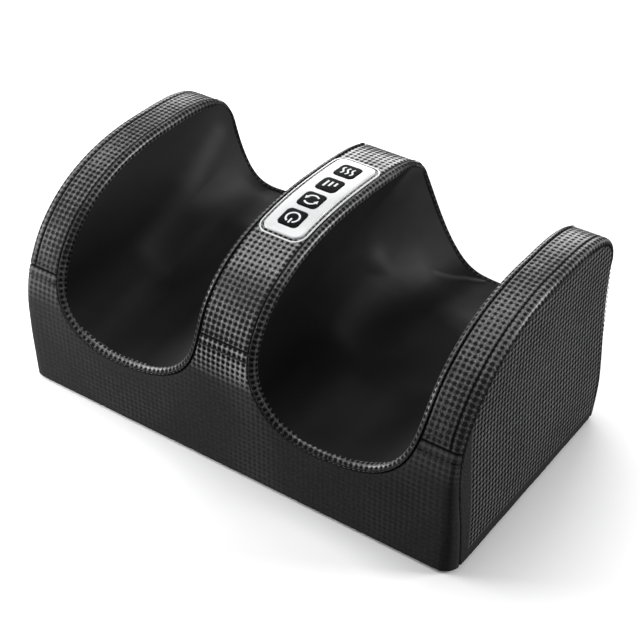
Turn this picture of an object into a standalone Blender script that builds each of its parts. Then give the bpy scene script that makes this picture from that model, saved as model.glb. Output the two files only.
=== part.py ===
"""Roller foot massager: a sewn cover over a moulded housing with two foot wells.

Two geared shafts under the wells carry kneading rollers, and a panel with four
push buttons sits on the bridge between the wells.
Metres, +Z up, front towards -Y, origin on the floor under the middle of the housing.
"""
import math

import bmesh
import bpy
from mathutils import Matrix, Vector

# Housing seen from outside
BODY_WIDTH = 0.380
BODY_DEPTH = 0.216
WING_HEIGHT = 0.1725
BRIDGE_RISE = 0.0025
WING_WIDTH = 0.0328
BRIDGE_WIDTH = 0.0506
COVER_FOOT = 0.0025

# Side view: the straight front, the highest point, and where the back turns straight
WING_FRONT_HEIGHT = 0.0655
BRIDGE_FRONT_HEIGHT = 0.0855
APEX_Y = 0.029
WING_REAR_DROP = 0.0305
BRIDGE_REAR_DROP = 0.0155
HEEL_HEIGHT = 0.040
HEEL_DEPTH = 0.0065
# Curve handles, as shares of the rise and the run of each curve: front rise, front run, rear run, rear rise
WING_CURVE_SHARES = (0.43, 0.77, 0.28, 1.15)
BRIDGE_CURVE_SHARES = (0.50, 0.78, 0.26, 1.00)
FRONT_STEPS = 14
REAR_STEPS = 7
HEEL_STEPS = 4
PANEL_STEPS = 3

# Corners between the side faces and the rest
FRONT_CORNER = 0.012
REAR_CORNER = 0.008
SEAM_CORNER = 0.0045
LEAST_CORNER = 0.0005
CORNER_STEPS = 3

# Cover and liner
COVER_THICK = 0.0018
LINER_THICK = 0.0015
GAP = 0.0003
MERGE_DISTANCE = 0.00001
WING_SEAM_HEIGHT = 0.103
BRIDGE_SEAM_HEIGHT = 0.1125
REAR_SEAM_DROP = 0.0415

# Foot wells: rim heights at the front and back, where the bowl meets the straight walls, and its roundness,
# which at the back differs between the bridge side and the wing side
FRONT_RIM_HEIGHT = 0.058
REAR_RIM_HEIGHT = 0.090
FRONT_BOWL_DROP = 0.0575
REAR_BOWL_DROP = 0.005
FRONT_BOWL_POWER = 2.5
REAR_BRIDGE_ACROSS_POWER = 2.6
REAR_BRIDGE_DROP_POWER = 0.72
REAR_WING_ACROSS_POWER = 4.6
REAR_WING_DROP_POWER = 1.0
FRONT_RIM_SKEW = 0.005
REAR_RIM_SLOPE = 0.005
REAR_RIM_LIFT = 0.005
WALL_LEAN = 0.006
HUMP_HEIGHT = 0.004
HUMP_REACH = 0.025
WELL_STEPS = 9
# Stations along a well, as shares of half the depth
WELL_STATION_SHARES = (-1.2, -1, -0.7, -0.4, 0, 0.4, 0.7, 1, 1.2)
LINER_ROWS = 14
LINER_COLUMNS = 20

# Moulded shells
POD_WALL = 0.0025
SILL_THICK = 0.0025
SILL_ROOM = 0.0005
BOSS_RADIUS = 0.0045
BOSS_HEIGHT = 0.022
RIB_THICK = 0.0024
BOSS_FRONT_INSET = 0.023
BOSS_REAR_INSET = 0.024

# Base plate, feet and screws
BASE_THICK = 0.003
VENT_LENGTH = 0.040
VENT_WIDTH = 0.003
VENT_PITCH = 0.008
VENT_INSET = 0.026
VENT_COUNT = 5
FOOT_RADIUS = 0.009
FOOT_PAD = 0.0022
FOOT_STEM_RADIUS = 0.0022
FOOT_HEAD_RADIUS = 0.0031
FOOT_HEAD_HEIGHT = 0.0022
FOOT_SIDE_INSET = 0.040
FOOT_FRONT_INSET = 0.023
FOOT_REAR_INSET = 0.030
SCREW_RADIUS = 0.0016
SCREW_HEAD_RADIUS = 0.0032
SCREW_HEAD_HEIGHT = 0.0016
SCREW_LENGTH = 0.013

# Drive: two roller shafts across the housing, each turned by its worm wheel
FRONT_SHAFT_INSET = 0.067
FRONT_SHAFT_HEIGHT = 0.043
REAR_SHAFT_INSET = 0.064
REAR_SHAFT_HEIGHT = 0.054
SHAFT_RADIUS = 0.005
SHAFT_SLOT_RADIUS = 0.006
SHAFT_END = 0.001
ROLLER_RADIUS = 0.024
ROLLER_WAIST_RADIUS = 0.015
ROLLER_END_ROOM = 0.021
ROLLER_RINGS = 3
ROLLER_LAND_SHARE = 0.4
ROLLER_LOBES = 5
ROLLER_SIDES = 20
LOBE_DEPTH_SHARE = 0.45
WHEEL_TEETH = 24
WHEEL_PITCH_RADIUS = 0.020
WHEEL_TIP_RADIUS = 0.0214
WHEEL_ROOT_RADIUS = 0.0184
WHEEL_WIDTH = 0.005
WHEEL_HUB_RADIUS = 0.009
WHEEL_HUB_LENGTH = 0.016
TOOTH_TIP_SHARE = 0.30
TOOTH_ROOT_SHARE = 0.52
WORM_PITCH_RADIUS = 0.006
WORM_CORE_RADIUS = 0.004
WORM_SHAFT_RADIUS = 0.003
THREAD_WIRE_RADIUS = 0.0011
THREAD_PATH_RADIUS = 0.005
THREAD_TURNS = 3
THREAD_STEPS = 12

# Gearbox frame and motor
PLATE_INNER_X = 0.0175
PLATE_THICK = 0.003
PLATE_REACH = 0.022
PLATE_TOP = 0.040
PLATE_END = 0.002
BUSH_RADIUS = 0.008
BUSH_LENGTH = 0.004
MOUNT_ROOM = 0.0142
MOUNT_THICK = 0.003
MOUNT_LOW = 0.018
MOUNT_HIGH = 0.042
END_BLOCK_LOW = 0.018
END_BLOCK_HIGH = 0.036
MOTOR_RADIUS = 0.0139
MOTOR_LENGTH = 0.038
MOTOR_BOSS_RADIUS = 0.0050
MOTOR_BOSS_LENGTH = 0.002
MOTOR_BORE_DEPTH = 0.030
MOTOR_EDGE = 0.0015
BEARING_ROOM = 0.008
BEARING_THICK = 0.006
BEARING_HALF_WIDTH = 0.015
BEARING_FOOT_HEIGHT = 0.005
BEARING_HEAD_RADIUS = 0.010

# Control panel
BEZEL_WIDTH = 0.040
BEZEL_LENGTH = 0.107
BEZEL_CORNER = 0.0095
BEZEL_Y = 0.0128
BEZEL_RISE = 0.0013
WINDOW_WIDTH = 0.026
WINDOW_LENGTH = 0.0925
WINDOW_CORNER = 0.003
BUTTON_WIDTH = 0.0168
BUTTON_LENGTH = 0.0172
BUTTON_CORNER = 0.0035
BUTTON_PROUD = 0.0006
BUTTON_DEPTH = 0.0030
BUTTON_PITCH = 0.0227
BUTTON_MIDDLE_Y = 0.013
BUTTON_TRAVEL = 0.0010
STEM_SIZE = 0.004
BOARD_WIDTH = 0.024
BOARD_LENGTH = 0.089
BOARD_THICK = 0.0016
BOARD_DEPTH = 0.009
SWITCH_SIZE = 0.006
SWITCH_HEIGHT = 0.002

# Electrics
INLET_RADIUS = 0.0055
INLET_BORE_RADIUS = 0.003
INLET_BORE_DEPTH = 0.010
INLET_PIN_RADIUS = 0.001
INLET_PIN_LENGTH = 0.008
INLET_LENGTH = 0.015
INLET_HEIGHT = 0.050
CONTROL_BOARD_LENGTH = 0.070
CONTROL_BOARD_HEIGHT = 0.055
CONTROL_PART_SIZE = 0.012
# Places of the parts along the control board, as shares of its length
CONTROL_PART_SHARES = (-0.3, 0, 0.3)
FILM_THICK = 0.0008
FILM_LENGTH = 0.070
FILM_LOW = 0.074
FILM_HIGH = 0.104
FILM_Y = 0.025

# Cutters pass the faces they cut by this much
OVERRUN = 0.004
HOLE_SIDES = 20

HALF_WIDTH = BODY_WIDTH / 2
HALF_DEPTH = BODY_DEPTH / 2
BRIDGE_HEIGHT = WING_HEIGHT + BRIDGE_RISE
WING_REAR_HEIGHT = WING_HEIGHT - WING_REAR_DROP
BRIDGE_REAR_HEIGHT = BRIDGE_HEIGHT - BRIDGE_REAR_DROP
REAR_SEAM_HEIGHT = WING_HEIGHT - REAR_SEAM_DROP
FRONT_BOWL_TOP = BRIDGE_HEIGHT - FRONT_BOWL_DROP
REAR_BOWL_TOP = BRIDGE_HEIGHT - REAR_BOWL_DROP
WELL_INNER = BRIDGE_WIDTH / 2
WELL_OUTER = HALF_WIDTH - WING_WIDTH
WELL_CENTRE = (WELL_INNER + WELL_OUTER) / 2
WELL_HALF = (WELL_OUTER - WELL_INNER) / 2
LINING = COVER_THICK + GAP
BASE_TOP = COVER_FOOT + BASE_THICK
DECK = BASE_TOP + GAP
CENTRE_POD_HALF = WELL_INNER - LINER_THICK - GAP
WING_POD_INNER = WELL_OUTER + LINER_THICK + GAP
WING_POD_MIDDLE = (WING_POD_INNER + HALF_WIDTH - LINING) / 2
HIGH = max(BRIDGE_HEIGHT, WING_HEIGHT) + 2 * OVERRUN
BOSS_FRONT_Y = BOSS_FRONT_INSET - HALF_DEPTH
BOSS_REAR_Y = HALF_DEPTH - BOSS_REAR_INSET
FOOT_X = HALF_WIDTH - FOOT_SIDE_INSET
FOOT_FRONT_Y = FOOT_FRONT_INSET - HALF_DEPTH
FOOT_REAR_Y = HALF_DEPTH - FOOT_REAR_INSET
FRONT_SHAFT_Y = FRONT_SHAFT_INSET - HALF_DEPTH
REAR_SHAFT_Y = HALF_DEPTH - REAR_SHAFT_INSET
ROLLER_LENGTH = 2 * (WELL_HALF - ROLLER_END_ROOM)
BEARING_X = WELL_OUTER - BEARING_ROOM
SHAFT_LENGTH = 2 * (BEARING_X + BEARING_THICK / 2 + SHAFT_END)
WORM_HEIGHT = WHEEL_PITCH_RADIUS + WORM_PITCH_RADIUS
THREAD_PITCH = 2 * math.pi * WHEEL_PITCH_RADIUS / WHEEL_TEETH
SHAFT_RUN = REAR_SHAFT_Y - FRONT_SHAFT_Y
SHAFT_RISE = REAR_SHAFT_HEIGHT - FRONT_SHAFT_HEIGHT
DRIVE_TILT = math.atan2(SHAFT_RISE, SHAFT_RUN)
DRIVE_HALF = math.hypot(SHAFT_RUN, SHAFT_RISE) / 2
MOUNT_START = DRIVE_HALF + MOUNT_ROOM
PLATE_HALF_LENGTH = MOUNT_START + MOUNT_THICK + PLATE_END
DRIVE_ORIGIN = (0, (FRONT_SHAFT_Y + REAR_SHAFT_Y) / 2, (FRONT_SHAFT_HEIGHT + REAR_SHAFT_HEIGHT) / 2)
WING = (WING_HEIGHT, WING_FRONT_HEIGHT, WING_REAR_HEIGHT, WING_CURVE_SHARES)
BRIDGE = (BRIDGE_HEIGHT, BRIDGE_FRONT_HEIGHT, BRIDGE_REAR_HEIGHT, BRIDGE_CURVE_SHARES)

# Turns that lay a drawing in the XY plane over the YZ plane or the XZ plane
ALONG_X = (math.pi / 2, 0, math.pi / 2)
ALONG_Y = (math.pi / 2, 0, 0)
# Turns that lay a turned shape's Z axis along X or along Y
TURNED_X = (0, math.pi / 2, 0)
TURNED_Y = (-math.pi / 2, 0, 0)


def clear_scene():
    for item in list(bpy.data.objects):
        bpy.data.objects.remove(item)


def collection(name):
    group = bpy.data.collections.new(name)
    bpy.context.scene.collection.children.link(group)
    return group


clear_scene()
PARTS = collection("roller_foot_massager")
CUTTERS = collection("cutters")


def material(name, colour, roughness, metallic=0.0):
    finish = bpy.data.materials.new(name)
    finish.use_nodes = True
    shader = finish.node_tree.nodes["Principled BSDF"]
    shader.inputs["Base Color"].default_value = (*colour, 1)
    shader.inputs["Roughness"].default_value = roughness
    shader.inputs["Metallic"].default_value = metallic
    return finish


LEATHER = material("cover_leather", (0.030, 0.030, 0.032), 0.45)
FABRIC = material("liner_fabric", (0.010, 0.010, 0.011), 0.85)
HOUSING = material("housing_plastic", (0.05, 0.05, 0.055), 0.55)
WHITE = material("bezel_plastic", (0.82, 0.82, 0.82), 0.35)
BUTTON = material("button_plastic", (0.02, 0.02, 0.022), 0.35)
STEEL = material("shaft_steel", (0.55, 0.55, 0.57), 0.30, 1.0)
BRONZE = material("bush_bronze", (0.62, 0.42, 0.20), 0.40, 1.0)
NYLON = material("gear_nylon", (0.80, 0.78, 0.70), 0.50)
ROLLER = material("roller_plastic", (0.45, 0.30, 0.16), 0.50)
RUBBER = material("foot_rubber", (0.03, 0.03, 0.03), 0.80)
CIRCUIT = material("circuit_board", (0.04, 0.22, 0.09), 0.50)
FILM = material("heating_film", (0.55, 0.33, 0.08), 0.40)


def put(mesh, name, finish, group=None):
    piece = bpy.data.objects.new(name, mesh)
    (group or PARTS).objects.link(piece)
    if finish:
        piece.data.materials.append(finish)
    return piece


def hide_cutter(piece):
    piece.hide_render = True
    piece.display_type = "WIRE"
    return piece


def smooth(piece, angle=math.radians(35)):
    piece.data.shade_smooth()
    piece.data.set_sharp_from_angle(angle=angle)
    return piece


def baked(piece):
    """Replace an object by a plain mesh of what its modifiers make."""
    bpy.context.view_layer.update()
    graph = bpy.context.evaluated_depsgraph_get()
    mesh = bpy.data.meshes.new_from_object(piece.evaluated_get(graph))
    group = piece.users_collection[0]
    name = piece.name
    place = piece.matrix_world.copy()
    bpy.data.objects.remove(piece)
    made = put(mesh, name, None, group)
    made.matrix_world = place
    welded = bmesh.new()
    welded.from_mesh(mesh)
    bmesh.ops.remove_doubles(welded, verts=welded.verts, dist=MERGE_DISTANCE)
    welded.to_mesh(mesh)
    welded.free()
    return made


def prism(name, outline, low, high, turn, finish=None, group=None):
    """A flat outline, drawn as a filled curve and made thick from low to high along its own normal."""
    curve = bpy.data.curves.new(name, "CURVE")
    curve.dimensions = "2D"
    curve.fill_mode = "BOTH"
    curve.extrude = (high - low) / 2
    line = curve.splines.new("POLY")
    line.points.add(len(outline) - 1)
    for point, (across, up) in zip(line.points, outline):
        point.co = (across, up, 0, 1)
    line.use_cyclic_u = True
    drawn = bpy.data.objects.new(name, curve)
    (group or CUTTERS).objects.link(drawn)
    drawn.rotation_euler = turn
    drawn.location = drawn.rotation_euler.to_matrix() @ Vector((0, 0, (low + high) / 2))
    piece = baked(drawn)
    if finish:
        piece.data.materials.clear()
        piece.data.materials.append(finish)
    return piece


def cutter_prism(name, outline, low, high, turn):
    return hide_cutter(prism(name, outline, low, high, turn, None, CUTTERS))


def loft(name, rings, finish=None, group=None):
    """Skin closed rings of equal length one after another, with a flat face over each end."""
    skin = bmesh.new()
    rows = [[skin.verts.new(point) for point in ring] for ring in rings]
    for low, high in zip(rows, rows[1:]):
        for here in range(len(low)):
            there = (here + 1) % len(low)
            skin.faces.new((low[here], low[there], high[there], high[here]))
    skin.faces.new(rows[0])
    skin.faces.new(rows[-1])
    bmesh.ops.recalc_face_normals(skin, faces=skin.faces)
    bmesh.ops.triangulate(skin, faces=[face for face in skin.faces if len(face.verts) == 4])
    mesh = bpy.data.meshes.new(name)
    skin.to_mesh(mesh)
    skin.free()
    return put(mesh, name, finish, group)


def cutter_loft(name, rings):
    return hide_cutter(loft(name, rings, None, CUTTERS))


def combine(piece, other, operation):
    change = piece.modifiers.new(other.name, "BOOLEAN")
    change.operation = operation
    change.object = other
    change.solver = "EXACT"
    return piece


def cut(piece, *others):
    for other in others:
        combine(piece, other, "DIFFERENCE")
    return piece


def join(piece, *others):
    for other in others:
        combine(piece, other, "UNION")
    return piece


def keep(piece, *others):
    for other in others:
        combine(piece, other, "INTERSECT")
    return piece


def box(name, low, high, finish=None, group=None):
    size = [top - bottom for bottom, top in zip(low, high)]
    middle = [(top + bottom) / 2 for bottom, top in zip(low, high)]
    made = bmesh.new()
    bmesh.ops.create_cube(made, size=1, matrix=Matrix.Translation(middle) @ Matrix.Diagonal((*size, 1)))
    mesh = bpy.data.meshes.new(name)
    made.to_mesh(mesh)
    made.free()
    return put(mesh, name, finish, group)


def cutter_box(name, low, high):
    return hide_cutter(box(name, low, high, None, CUTTERS))


def cylinder(name, radius, low, high, turn=(0, 0, 0), place=(0, 0, 0), sides=HOLE_SIDES, finish=None,
             group=None):
    """A cylinder from low to high along its axis, turned and then placed."""
    made = bmesh.new()
    shift = Matrix.Translation((0, 0, (low + high) / 2))
    bmesh.ops.create_cone(made, cap_ends=True, segments=sides, radius1=radius, radius2=radius,
                          depth=high - low, matrix=shift)
    mesh = bpy.data.meshes.new(name)
    made.to_mesh(mesh)
    made.free()
    piece = put(mesh, name, finish, group)
    piece.rotation_euler = turn
    piece.location = place
    return piece


def drill(name, radius, low, high, turn=(0, 0, 0), place=(0, 0, 0), sides=HOLE_SIDES):
    return hide_cutter(cylinder(name, radius, low, high, turn, place, sides, None, CUTTERS))


def turned(name, profile, turn, place, finish, sides=HOLE_SIDES, closed=False):
    """A turned shape: radius and height pairs that run down the outer side, swept round Z."""
    mesh = bpy.data.meshes.new(name)
    count = len(profile)
    edges = [(here, here + 1) for here in range(count - 1)]
    if closed:
        edges.append((count - 1, 0))
    mesh.from_pydata([(radius, 0, height) for radius, height in profile], edges, [])
    piece = put(mesh, name, finish)
    sweep = piece.modifiers.new("sweep", "SCREW")
    sweep.axis = "Z"
    sweep.steps = sides
    sweep.render_steps = sides
    sweep.use_merge_vertices = True
    sweep.merge_threshold = MERGE_DISTANCE
    sweep.use_smooth_shade = False
    piece.rotation_euler = turn
    piece.location = place
    return piece


def blend(value, low, high, at_low, at_high):
    """Go from at_low to at_high as value goes from low to high, and stay level outside."""
    share = min(max((value - low) / (high - low), 0), 1)
    return at_low + (at_high - at_low) * share


def bezier(start, first, second, end, steps):
    points = []
    for step in range(1, steps + 1):
        t = step / steps
        s = 1 - t
        points.append(tuple(s ** 3 * a + 3 * s * s * t * b + 3 * s * t * t * c + t ** 3 * d
                            for a, b, c, d in zip(start, first, second, end)))
    return points


def side_view(side, finer=1):
    """The housing from the side: up the front, over the top, down the back and in over the heel."""
    height, front, rear, shares = side
    front_rise, front_run, rear_run, rear_rise = shares
    front_y = -HALF_DEPTH
    rear_y = HALF_DEPTH
    under = COVER_FOOT - OVERRUN
    points = [(front_y, under), (front_y, front)]
    points += bezier((front_y, front), (front_y, front + front_rise * (height - front)),
                     (APEX_Y - front_run * (APEX_Y - front_y), height), (APEX_Y, height), FRONT_STEPS * finer)
    points += bezier((APEX_Y, height), (APEX_Y + rear_run * (rear_y - APEX_Y), height),
                     (rear_y, rear + rear_rise * (height - rear)), (rear_y, rear), REAR_STEPS * finer)
    for step in range(HEEL_STEPS + 1):
        z = HEEL_HEIGHT + (under - HEEL_HEIGHT) * step / HEEL_STEPS
        rise = (HEEL_HEIGHT - z) / (HEEL_HEIGHT - COVER_FOOT)
        points.append((rear_y - HEEL_DEPTH * rise ** 2, z))
    return points


def moved_in(points, distances):
    """Move an open line to its right-hand side by a distance for each point."""
    moved = []
    last = len(points) - 1
    for here, (point, distance) in enumerate(zip(points, distances)):
        before = Vector(points[max(here - 1, 0)])
        middle = Vector(point)
        after = Vector(points[min(here + 1, last)])
        first = (middle - before if here else after - middle).normalized()
        second = (after - middle if here < last else middle - before).normalized()
        along = (first + second).normalized()
        normal = Vector((along.y, -along.x))
        spread = normal.dot(Vector((first.y, -first.x)))
        moved.append(tuple(middle + normal * (distance / spread)))
    return moved


def level_ends(points, bottom):
    """Slide both ends of a line along its end pieces to the height bottom."""
    (before_y, before_z), (last_y, last_z) = points[-2:]
    share = (before_z - bottom) / (before_z - last_z)
    return [(points[0][0], bottom)] + points[1:-1] + [(before_y + (last_y - before_y) * share, bottom)]


def inner_view(side, inset, bottom, finer=1):
    points = side_view(side, finer)
    return level_ends(moved_in(points, [inset] * len(points)), bottom)


def corner_radius(y, z):
    if y < 0:
        return blend(z, COVER_FOOT, WING_SEAM_HEIGHT, FRONT_CORNER, SEAM_CORNER)
    return blend(z, REAR_SEAM_HEIGHT, WING_REAR_HEIGHT, REAR_CORNER, SEAM_CORNER)


def corner_rings(inset, bottom, hand):
    """Rings that round the outer end of a wing, from the side face inwards."""
    points = side_view(WING)
    radii = [max(corner_radius(y, z) - inset, LEAST_CORNER) for y, z in points]
    rings = []
    for step in range(CORNER_STEPS + 1):
        angle = math.pi / 2 * step / CORNER_STEPS
        line = moved_in(points, [inset + radius * (1 - math.sin(angle)) for radius in radii])
        line = level_ends(line, bottom)
        rings.append([(hand * (HALF_WIDTH - inset - radius * (1 - math.cos(angle))), y, z)
                      for radius, (y, z) in zip(radii, line)])
    return rings


def flat_ring(side, inset, bottom, x):
    return [(x, y, z) for y, z in inner_view(side, inset, bottom)]


def housing_rings(inset, bottom):
    """The whole housing across its width: a wing, the bridge, a wing. They change over in the wells."""
    change = WELL_CENTRE
    step = WELL_HALF / 50
    rings = corner_rings(inset, bottom, -1)
    rings.append(flat_ring(WING, inset, bottom, -change - step))
    rings.append(flat_ring(BRIDGE, inset, bottom, -change + step))
    rings.append(flat_ring(BRIDGE, inset, bottom, change - step))
    rings.append(flat_ring(WING, inset, bottom, change + step))
    return rings + corner_rings(inset, bottom, 1)[::-1]


def top_height(side, inset, y, finer=1):
    """Height of the top surface, moved in by inset, above a place on the depth."""
    line = inner_view(side, inset, COVER_FOOT, finer)
    for (y_low, z_low), (y_high, z_high) in zip(line[1:], line[2:]):
        if y_low <= y <= y_high and y_high > y_low:
            return z_low + (z_high - z_low) * (y - y_low) / (y_high - y_low)
    raise ValueError("outside the housing")


def hump(y):
    """Rise of the liner over the two rollers."""
    shafts = (FRONT_SHAFT_Y, REAR_SHAFT_Y)
    return sum(HUMP_HEIGHT * math.exp(-((y - place) / HUMP_REACH) ** 2) for place in shafts)


def bowl_powers(share, on_wing_side):
    """How round a well is across and downwards, a share of the way from the front to the back."""
    rear = (REAR_BRIDGE_ACROSS_POWER, REAR_BRIDGE_DROP_POWER)
    if on_wing_side:
        rear = (REAR_WING_ACROSS_POWER, REAR_WING_DROP_POWER)
    return [FRONT_BOWL_POWER + (power - FRONT_BOWL_POWER) * share for power in rear]


def well_section(y, hand, inner_top, outer_top, steps=WELL_STEPS):
    """A well across its width, from its wall on the bridge, round the bowl, to its wall on the wing."""
    share = min(max((y + HALF_DEPTH) / BODY_DEPTH, 0), 1)
    rear_rim = REAR_RIM_HEIGHT - hand * REAR_RIM_LIFT
    floor = FRONT_RIM_HEIGHT + (rear_rim - FRONT_RIM_HEIGHT) * share + hump(y)
    bowl_top = FRONT_BOWL_TOP + (REAR_BOWL_TOP - FRONT_BOWL_TOP) * share
    skew = hand * FRONT_RIM_SKEW * (1 - share) - REAR_RIM_SLOPE * share
    points = [(WELL_INNER, inner_top)]
    for step in range(-steps, steps + 1):
        angle = step / steps * math.pi / 2
        across_power, drop_power = bowl_powers(share, step > 0)
        across = math.copysign(abs(math.sin(angle)) ** (2 / across_power), angle)
        drop = max(math.cos(angle), 0) ** (2 / drop_power)
        z = bowl_top - (bowl_top - floor - skew * across) * drop
        lean = WALL_LEAN * ((BRIDGE_HEIGHT - z) / BRIDGE_HEIGHT) ** 2
        points.append((WELL_CENTRE + across * (WELL_HALF - lean), z))
    points.append((WELL_OUTER, outer_top))
    return points


def clipped_end(points, top):
    """Cut a line that starts high so that it starts at the height top."""
    for here, ((x_high, z_high), (x_low, z_low)) in enumerate(zip(points, points[1:])):
        if z_high >= top > z_low:
            share = (z_high - top) / (z_high - z_low)
            return [(x_high + (x_low - x_high) * share, top)] + points[here + 1:]
    return points


def spaced(points, count):
    """Points at equal steps along a line."""
    lengths = [0]
    for here, there in zip(points, points[1:]):
        lengths.append(lengths[-1] + math.dist(here, there))
    result = []
    piece = 0
    for step in range(count + 1):
        want = lengths[-1] * step / count
        while piece < len(points) - 2 and lengths[piece + 1] < want:
            piece += 1
        share = (want - lengths[piece]) / (lengths[piece + 1] - lengths[piece])
        result.append(tuple(a + (b - a) * share for a, b in zip(points[piece], points[piece + 1])))
    return result


def well_cutter(hand):
    rings = []
    for share in WELL_STATION_SHARES:
        y = share * HALF_DEPTH
        section = well_section(y, hand, HIGH, HIGH)
        rings.append([(hand * x, y, z) for x, z in section])
    return cutter_loft("well_cut", rings)


def seam_plug(hand, margin):
    """What lies behind the seam line of a side panel."""
    points = side_view(WING)
    line = moved_in(points, [corner_radius(y, z) + margin for y, z in points])
    line = level_ends(line, COVER_FOOT - OVERRUN)
    low = HALF_WIDTH - COVER_THICK - OVERRUN / 2
    high = HALF_WIDTH + OVERRUN
    if hand < 0:
        low, high = -high, -low
    return cutter_prism("seam_plug", line, low, high, ALONG_X)


COVER_OUTSIDE = cutter_loft("cover_outside", housing_rings(0, COVER_FOOT))
COVER_INSIDE = cutter_loft("cover_inside", housing_rings(COVER_THICK, COVER_FOOT - OVERRUN))
cut(COVER_OUTSIDE, COVER_INSIDE)
LINING_BODY = cutter_loft("lining_body", housing_rings(LINING, COVER_FOOT - OVERRUN))
WELL_CUTS = {hand: well_cutter(hand) for hand in (-1, 1)}
SEAM_CUTS = {hand: seam_plug(hand, -GAP / 2) for hand in (-1, 1)}


def rounded_rectangle(width, length, radius, steps=4):
    """Points round a rectangle with round corners, centred on zero."""
    points = []
    for quarter, (right, up) in enumerate(((1, 1), (-1, 1), (-1, -1), (1, -1))):
        for step in range(steps + 1):
            angle = math.pi / 2 * (quarter + step / steps)
            points.append((right * (width / 2 - radius) + radius * math.cos(angle),
                           up * (length / 2 - radius) + radius * math.sin(angle)))
    return points


def window_cut():
    outline = [(x, y + BEZEL_Y) for x, y in rounded_rectangle(WINDOW_WIDTH, WINDOW_LENGTH, WINDOW_CORNER)]
    return cutter_prism("window_cut", outline, BRIDGE_FRONT_HEIGHT, HIGH, (0, 0, 0))


WINDOW_CUT = window_cut()
INLET_CUT = drill("inlet_cut", INLET_RADIUS + GAP, -INLET_LENGTH, OVERRUN, TURNED_Y,
                  (0, HALF_DEPTH, INLET_HEIGHT))


def cover_piece(piece):
    keep(piece, COVER_OUTSIDE)
    cut(piece, WELL_CUTS[-1], WELL_CUTS[1], SEAM_CUTS[-1], SEAM_CUTS[1])
    return smooth(piece)


def build_front_panel():
    edge = HALF_WIDTH + OVERRUN
    low = -OVERRUN
    wing = WING_SEAM_HEIGHT - GAP / 2
    bridge = BRIDGE_SEAM_HEIGHT - GAP / 2
    outline = [(-edge, low), (edge, low), (edge, wing), (WELL_CENTRE, wing), (WELL_CENTRE, bridge),
               (-WELL_CENTRE, bridge), (-WELL_CENTRE, wing), (-edge, wing)]
    cover_piece(prism("front_panel", outline, 0, HALF_DEPTH + OVERRUN, ALONG_Y, LEATHER, PARTS))


def build_back_panel():
    edge = HALF_WIDTH + OVERRUN
    top = REAR_SEAM_HEIGHT - GAP / 2
    outline = [(-edge, -OVERRUN), (edge, -OVERRUN), (edge, top), (-edge, top)]
    piece = prism("back_panel", outline, -HALF_DEPTH - OVERRUN, 0, ALONG_Y, LEATHER, PARTS)
    cover_piece(piece)
    cut(piece, INLET_CUT)


def band_outline(front_seam):
    edge = HALF_DEPTH + OVERRUN
    return [(-edge, front_seam + GAP / 2), (0, front_seam + GAP / 2), (0, REAR_SEAM_HEIGHT + GAP / 2),
            (edge, REAR_SEAM_HEIGHT + GAP / 2), (edge, HIGH), (-edge, HIGH)]


def build_bands():
    edge = HALF_WIDTH + OVERRUN
    wing = band_outline(WING_SEAM_HEIGHT)
    cover_piece(prism("left_wing_band", wing, -edge, -WELL_CENTRE, ALONG_X, LEATHER, PARTS))
    cover_piece(prism("right_wing_band", wing, WELL_CENTRE, edge, ALONG_X, LEATHER, PARTS))
    bridge = prism("bridge_band", band_outline(BRIDGE_SEAM_HEIGHT), -WELL_CENTRE, WELL_CENTRE, ALONG_X,
                   LEATHER, PARTS)
    cover_piece(bridge)
    cut(bridge, WINDOW_CUT)


def build_side_panels():
    points = side_view(WING)
    line = moved_in(points, [corner_radius(y, z) + GAP / 2 for y, z in points])
    line = level_ends(line, COVER_FOOT)
    low = HALF_WIDTH - COVER_THICK
    prism("left_side_panel", line, -HALF_WIDTH, -low, ALONG_X, LEATHER, PARTS)
    prism("right_side_panel", line, low, HALF_WIDTH, ALONG_X, LEATHER, PARTS)


def liner_line(y, hand):
    """The liner across a well, from the top of the bridge to the top of the wing."""
    section = well_section(y, hand, HIGH, HIGH, LINER_COLUMNS)
    section = clipped_end(section, top_height(BRIDGE, LINING, y))
    section = clipped_end(section[::-1], top_height(WING, LINING, y))[::-1]
    return spaced(section, LINER_COLUMNS)


def build_liner(name, hand):
    """A fabric trough under one foot, from the front panel to the back panel."""
    reach = HALF_DEPTH - LINING - LEAST_CORNER
    grid = bmesh.new()
    rows = []
    for row in range(LINER_ROWS + 1):
        y = -reach * math.cos(math.pi * row / LINER_ROWS)
        rows.append([grid.verts.new((hand * x, y, z)) for x, z in liner_line(y, hand)])
    for low, high in zip(rows, rows[1:]):
        for here in range(LINER_COLUMNS):
            corners = [low[here], low[here + 1], high[here + 1], high[here]]
            grid.faces.new(corners if hand > 0 else corners[::-1])
    mesh = bpy.data.meshes.new(name)
    grid.to_mesh(mesh)
    grid.free()
    piece = put(mesh, name, FABRIC)
    wall = piece.modifiers.new("wall", "SOLIDIFY")
    wall.thickness = LINER_THICK
    wall.offset = -1
    wall.use_even_offset = True
    return smooth(piece)


def sill_outline(hand, y):
    """A low wall across a well whose top edge follows the liner's underside."""
    low_x = CENTRE_POD_HALF + GAP
    high_x = WING_POD_INNER - GAP
    line = liner_line(y, hand)
    under = moved_in(line, [LINER_THICK + SILL_ROOM] * len(line))
    edge = LINER_THICK
    under = [(x, z) for x, z in under if low_x + edge < x < high_x - edge]
    outline = [(low_x, DECK), (high_x, DECK), (high_x, under[-1][1])] + under[::-1] + [(low_x, under[0][1])]
    return [(hand * x, z) for x, z in outline][::hand]


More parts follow.
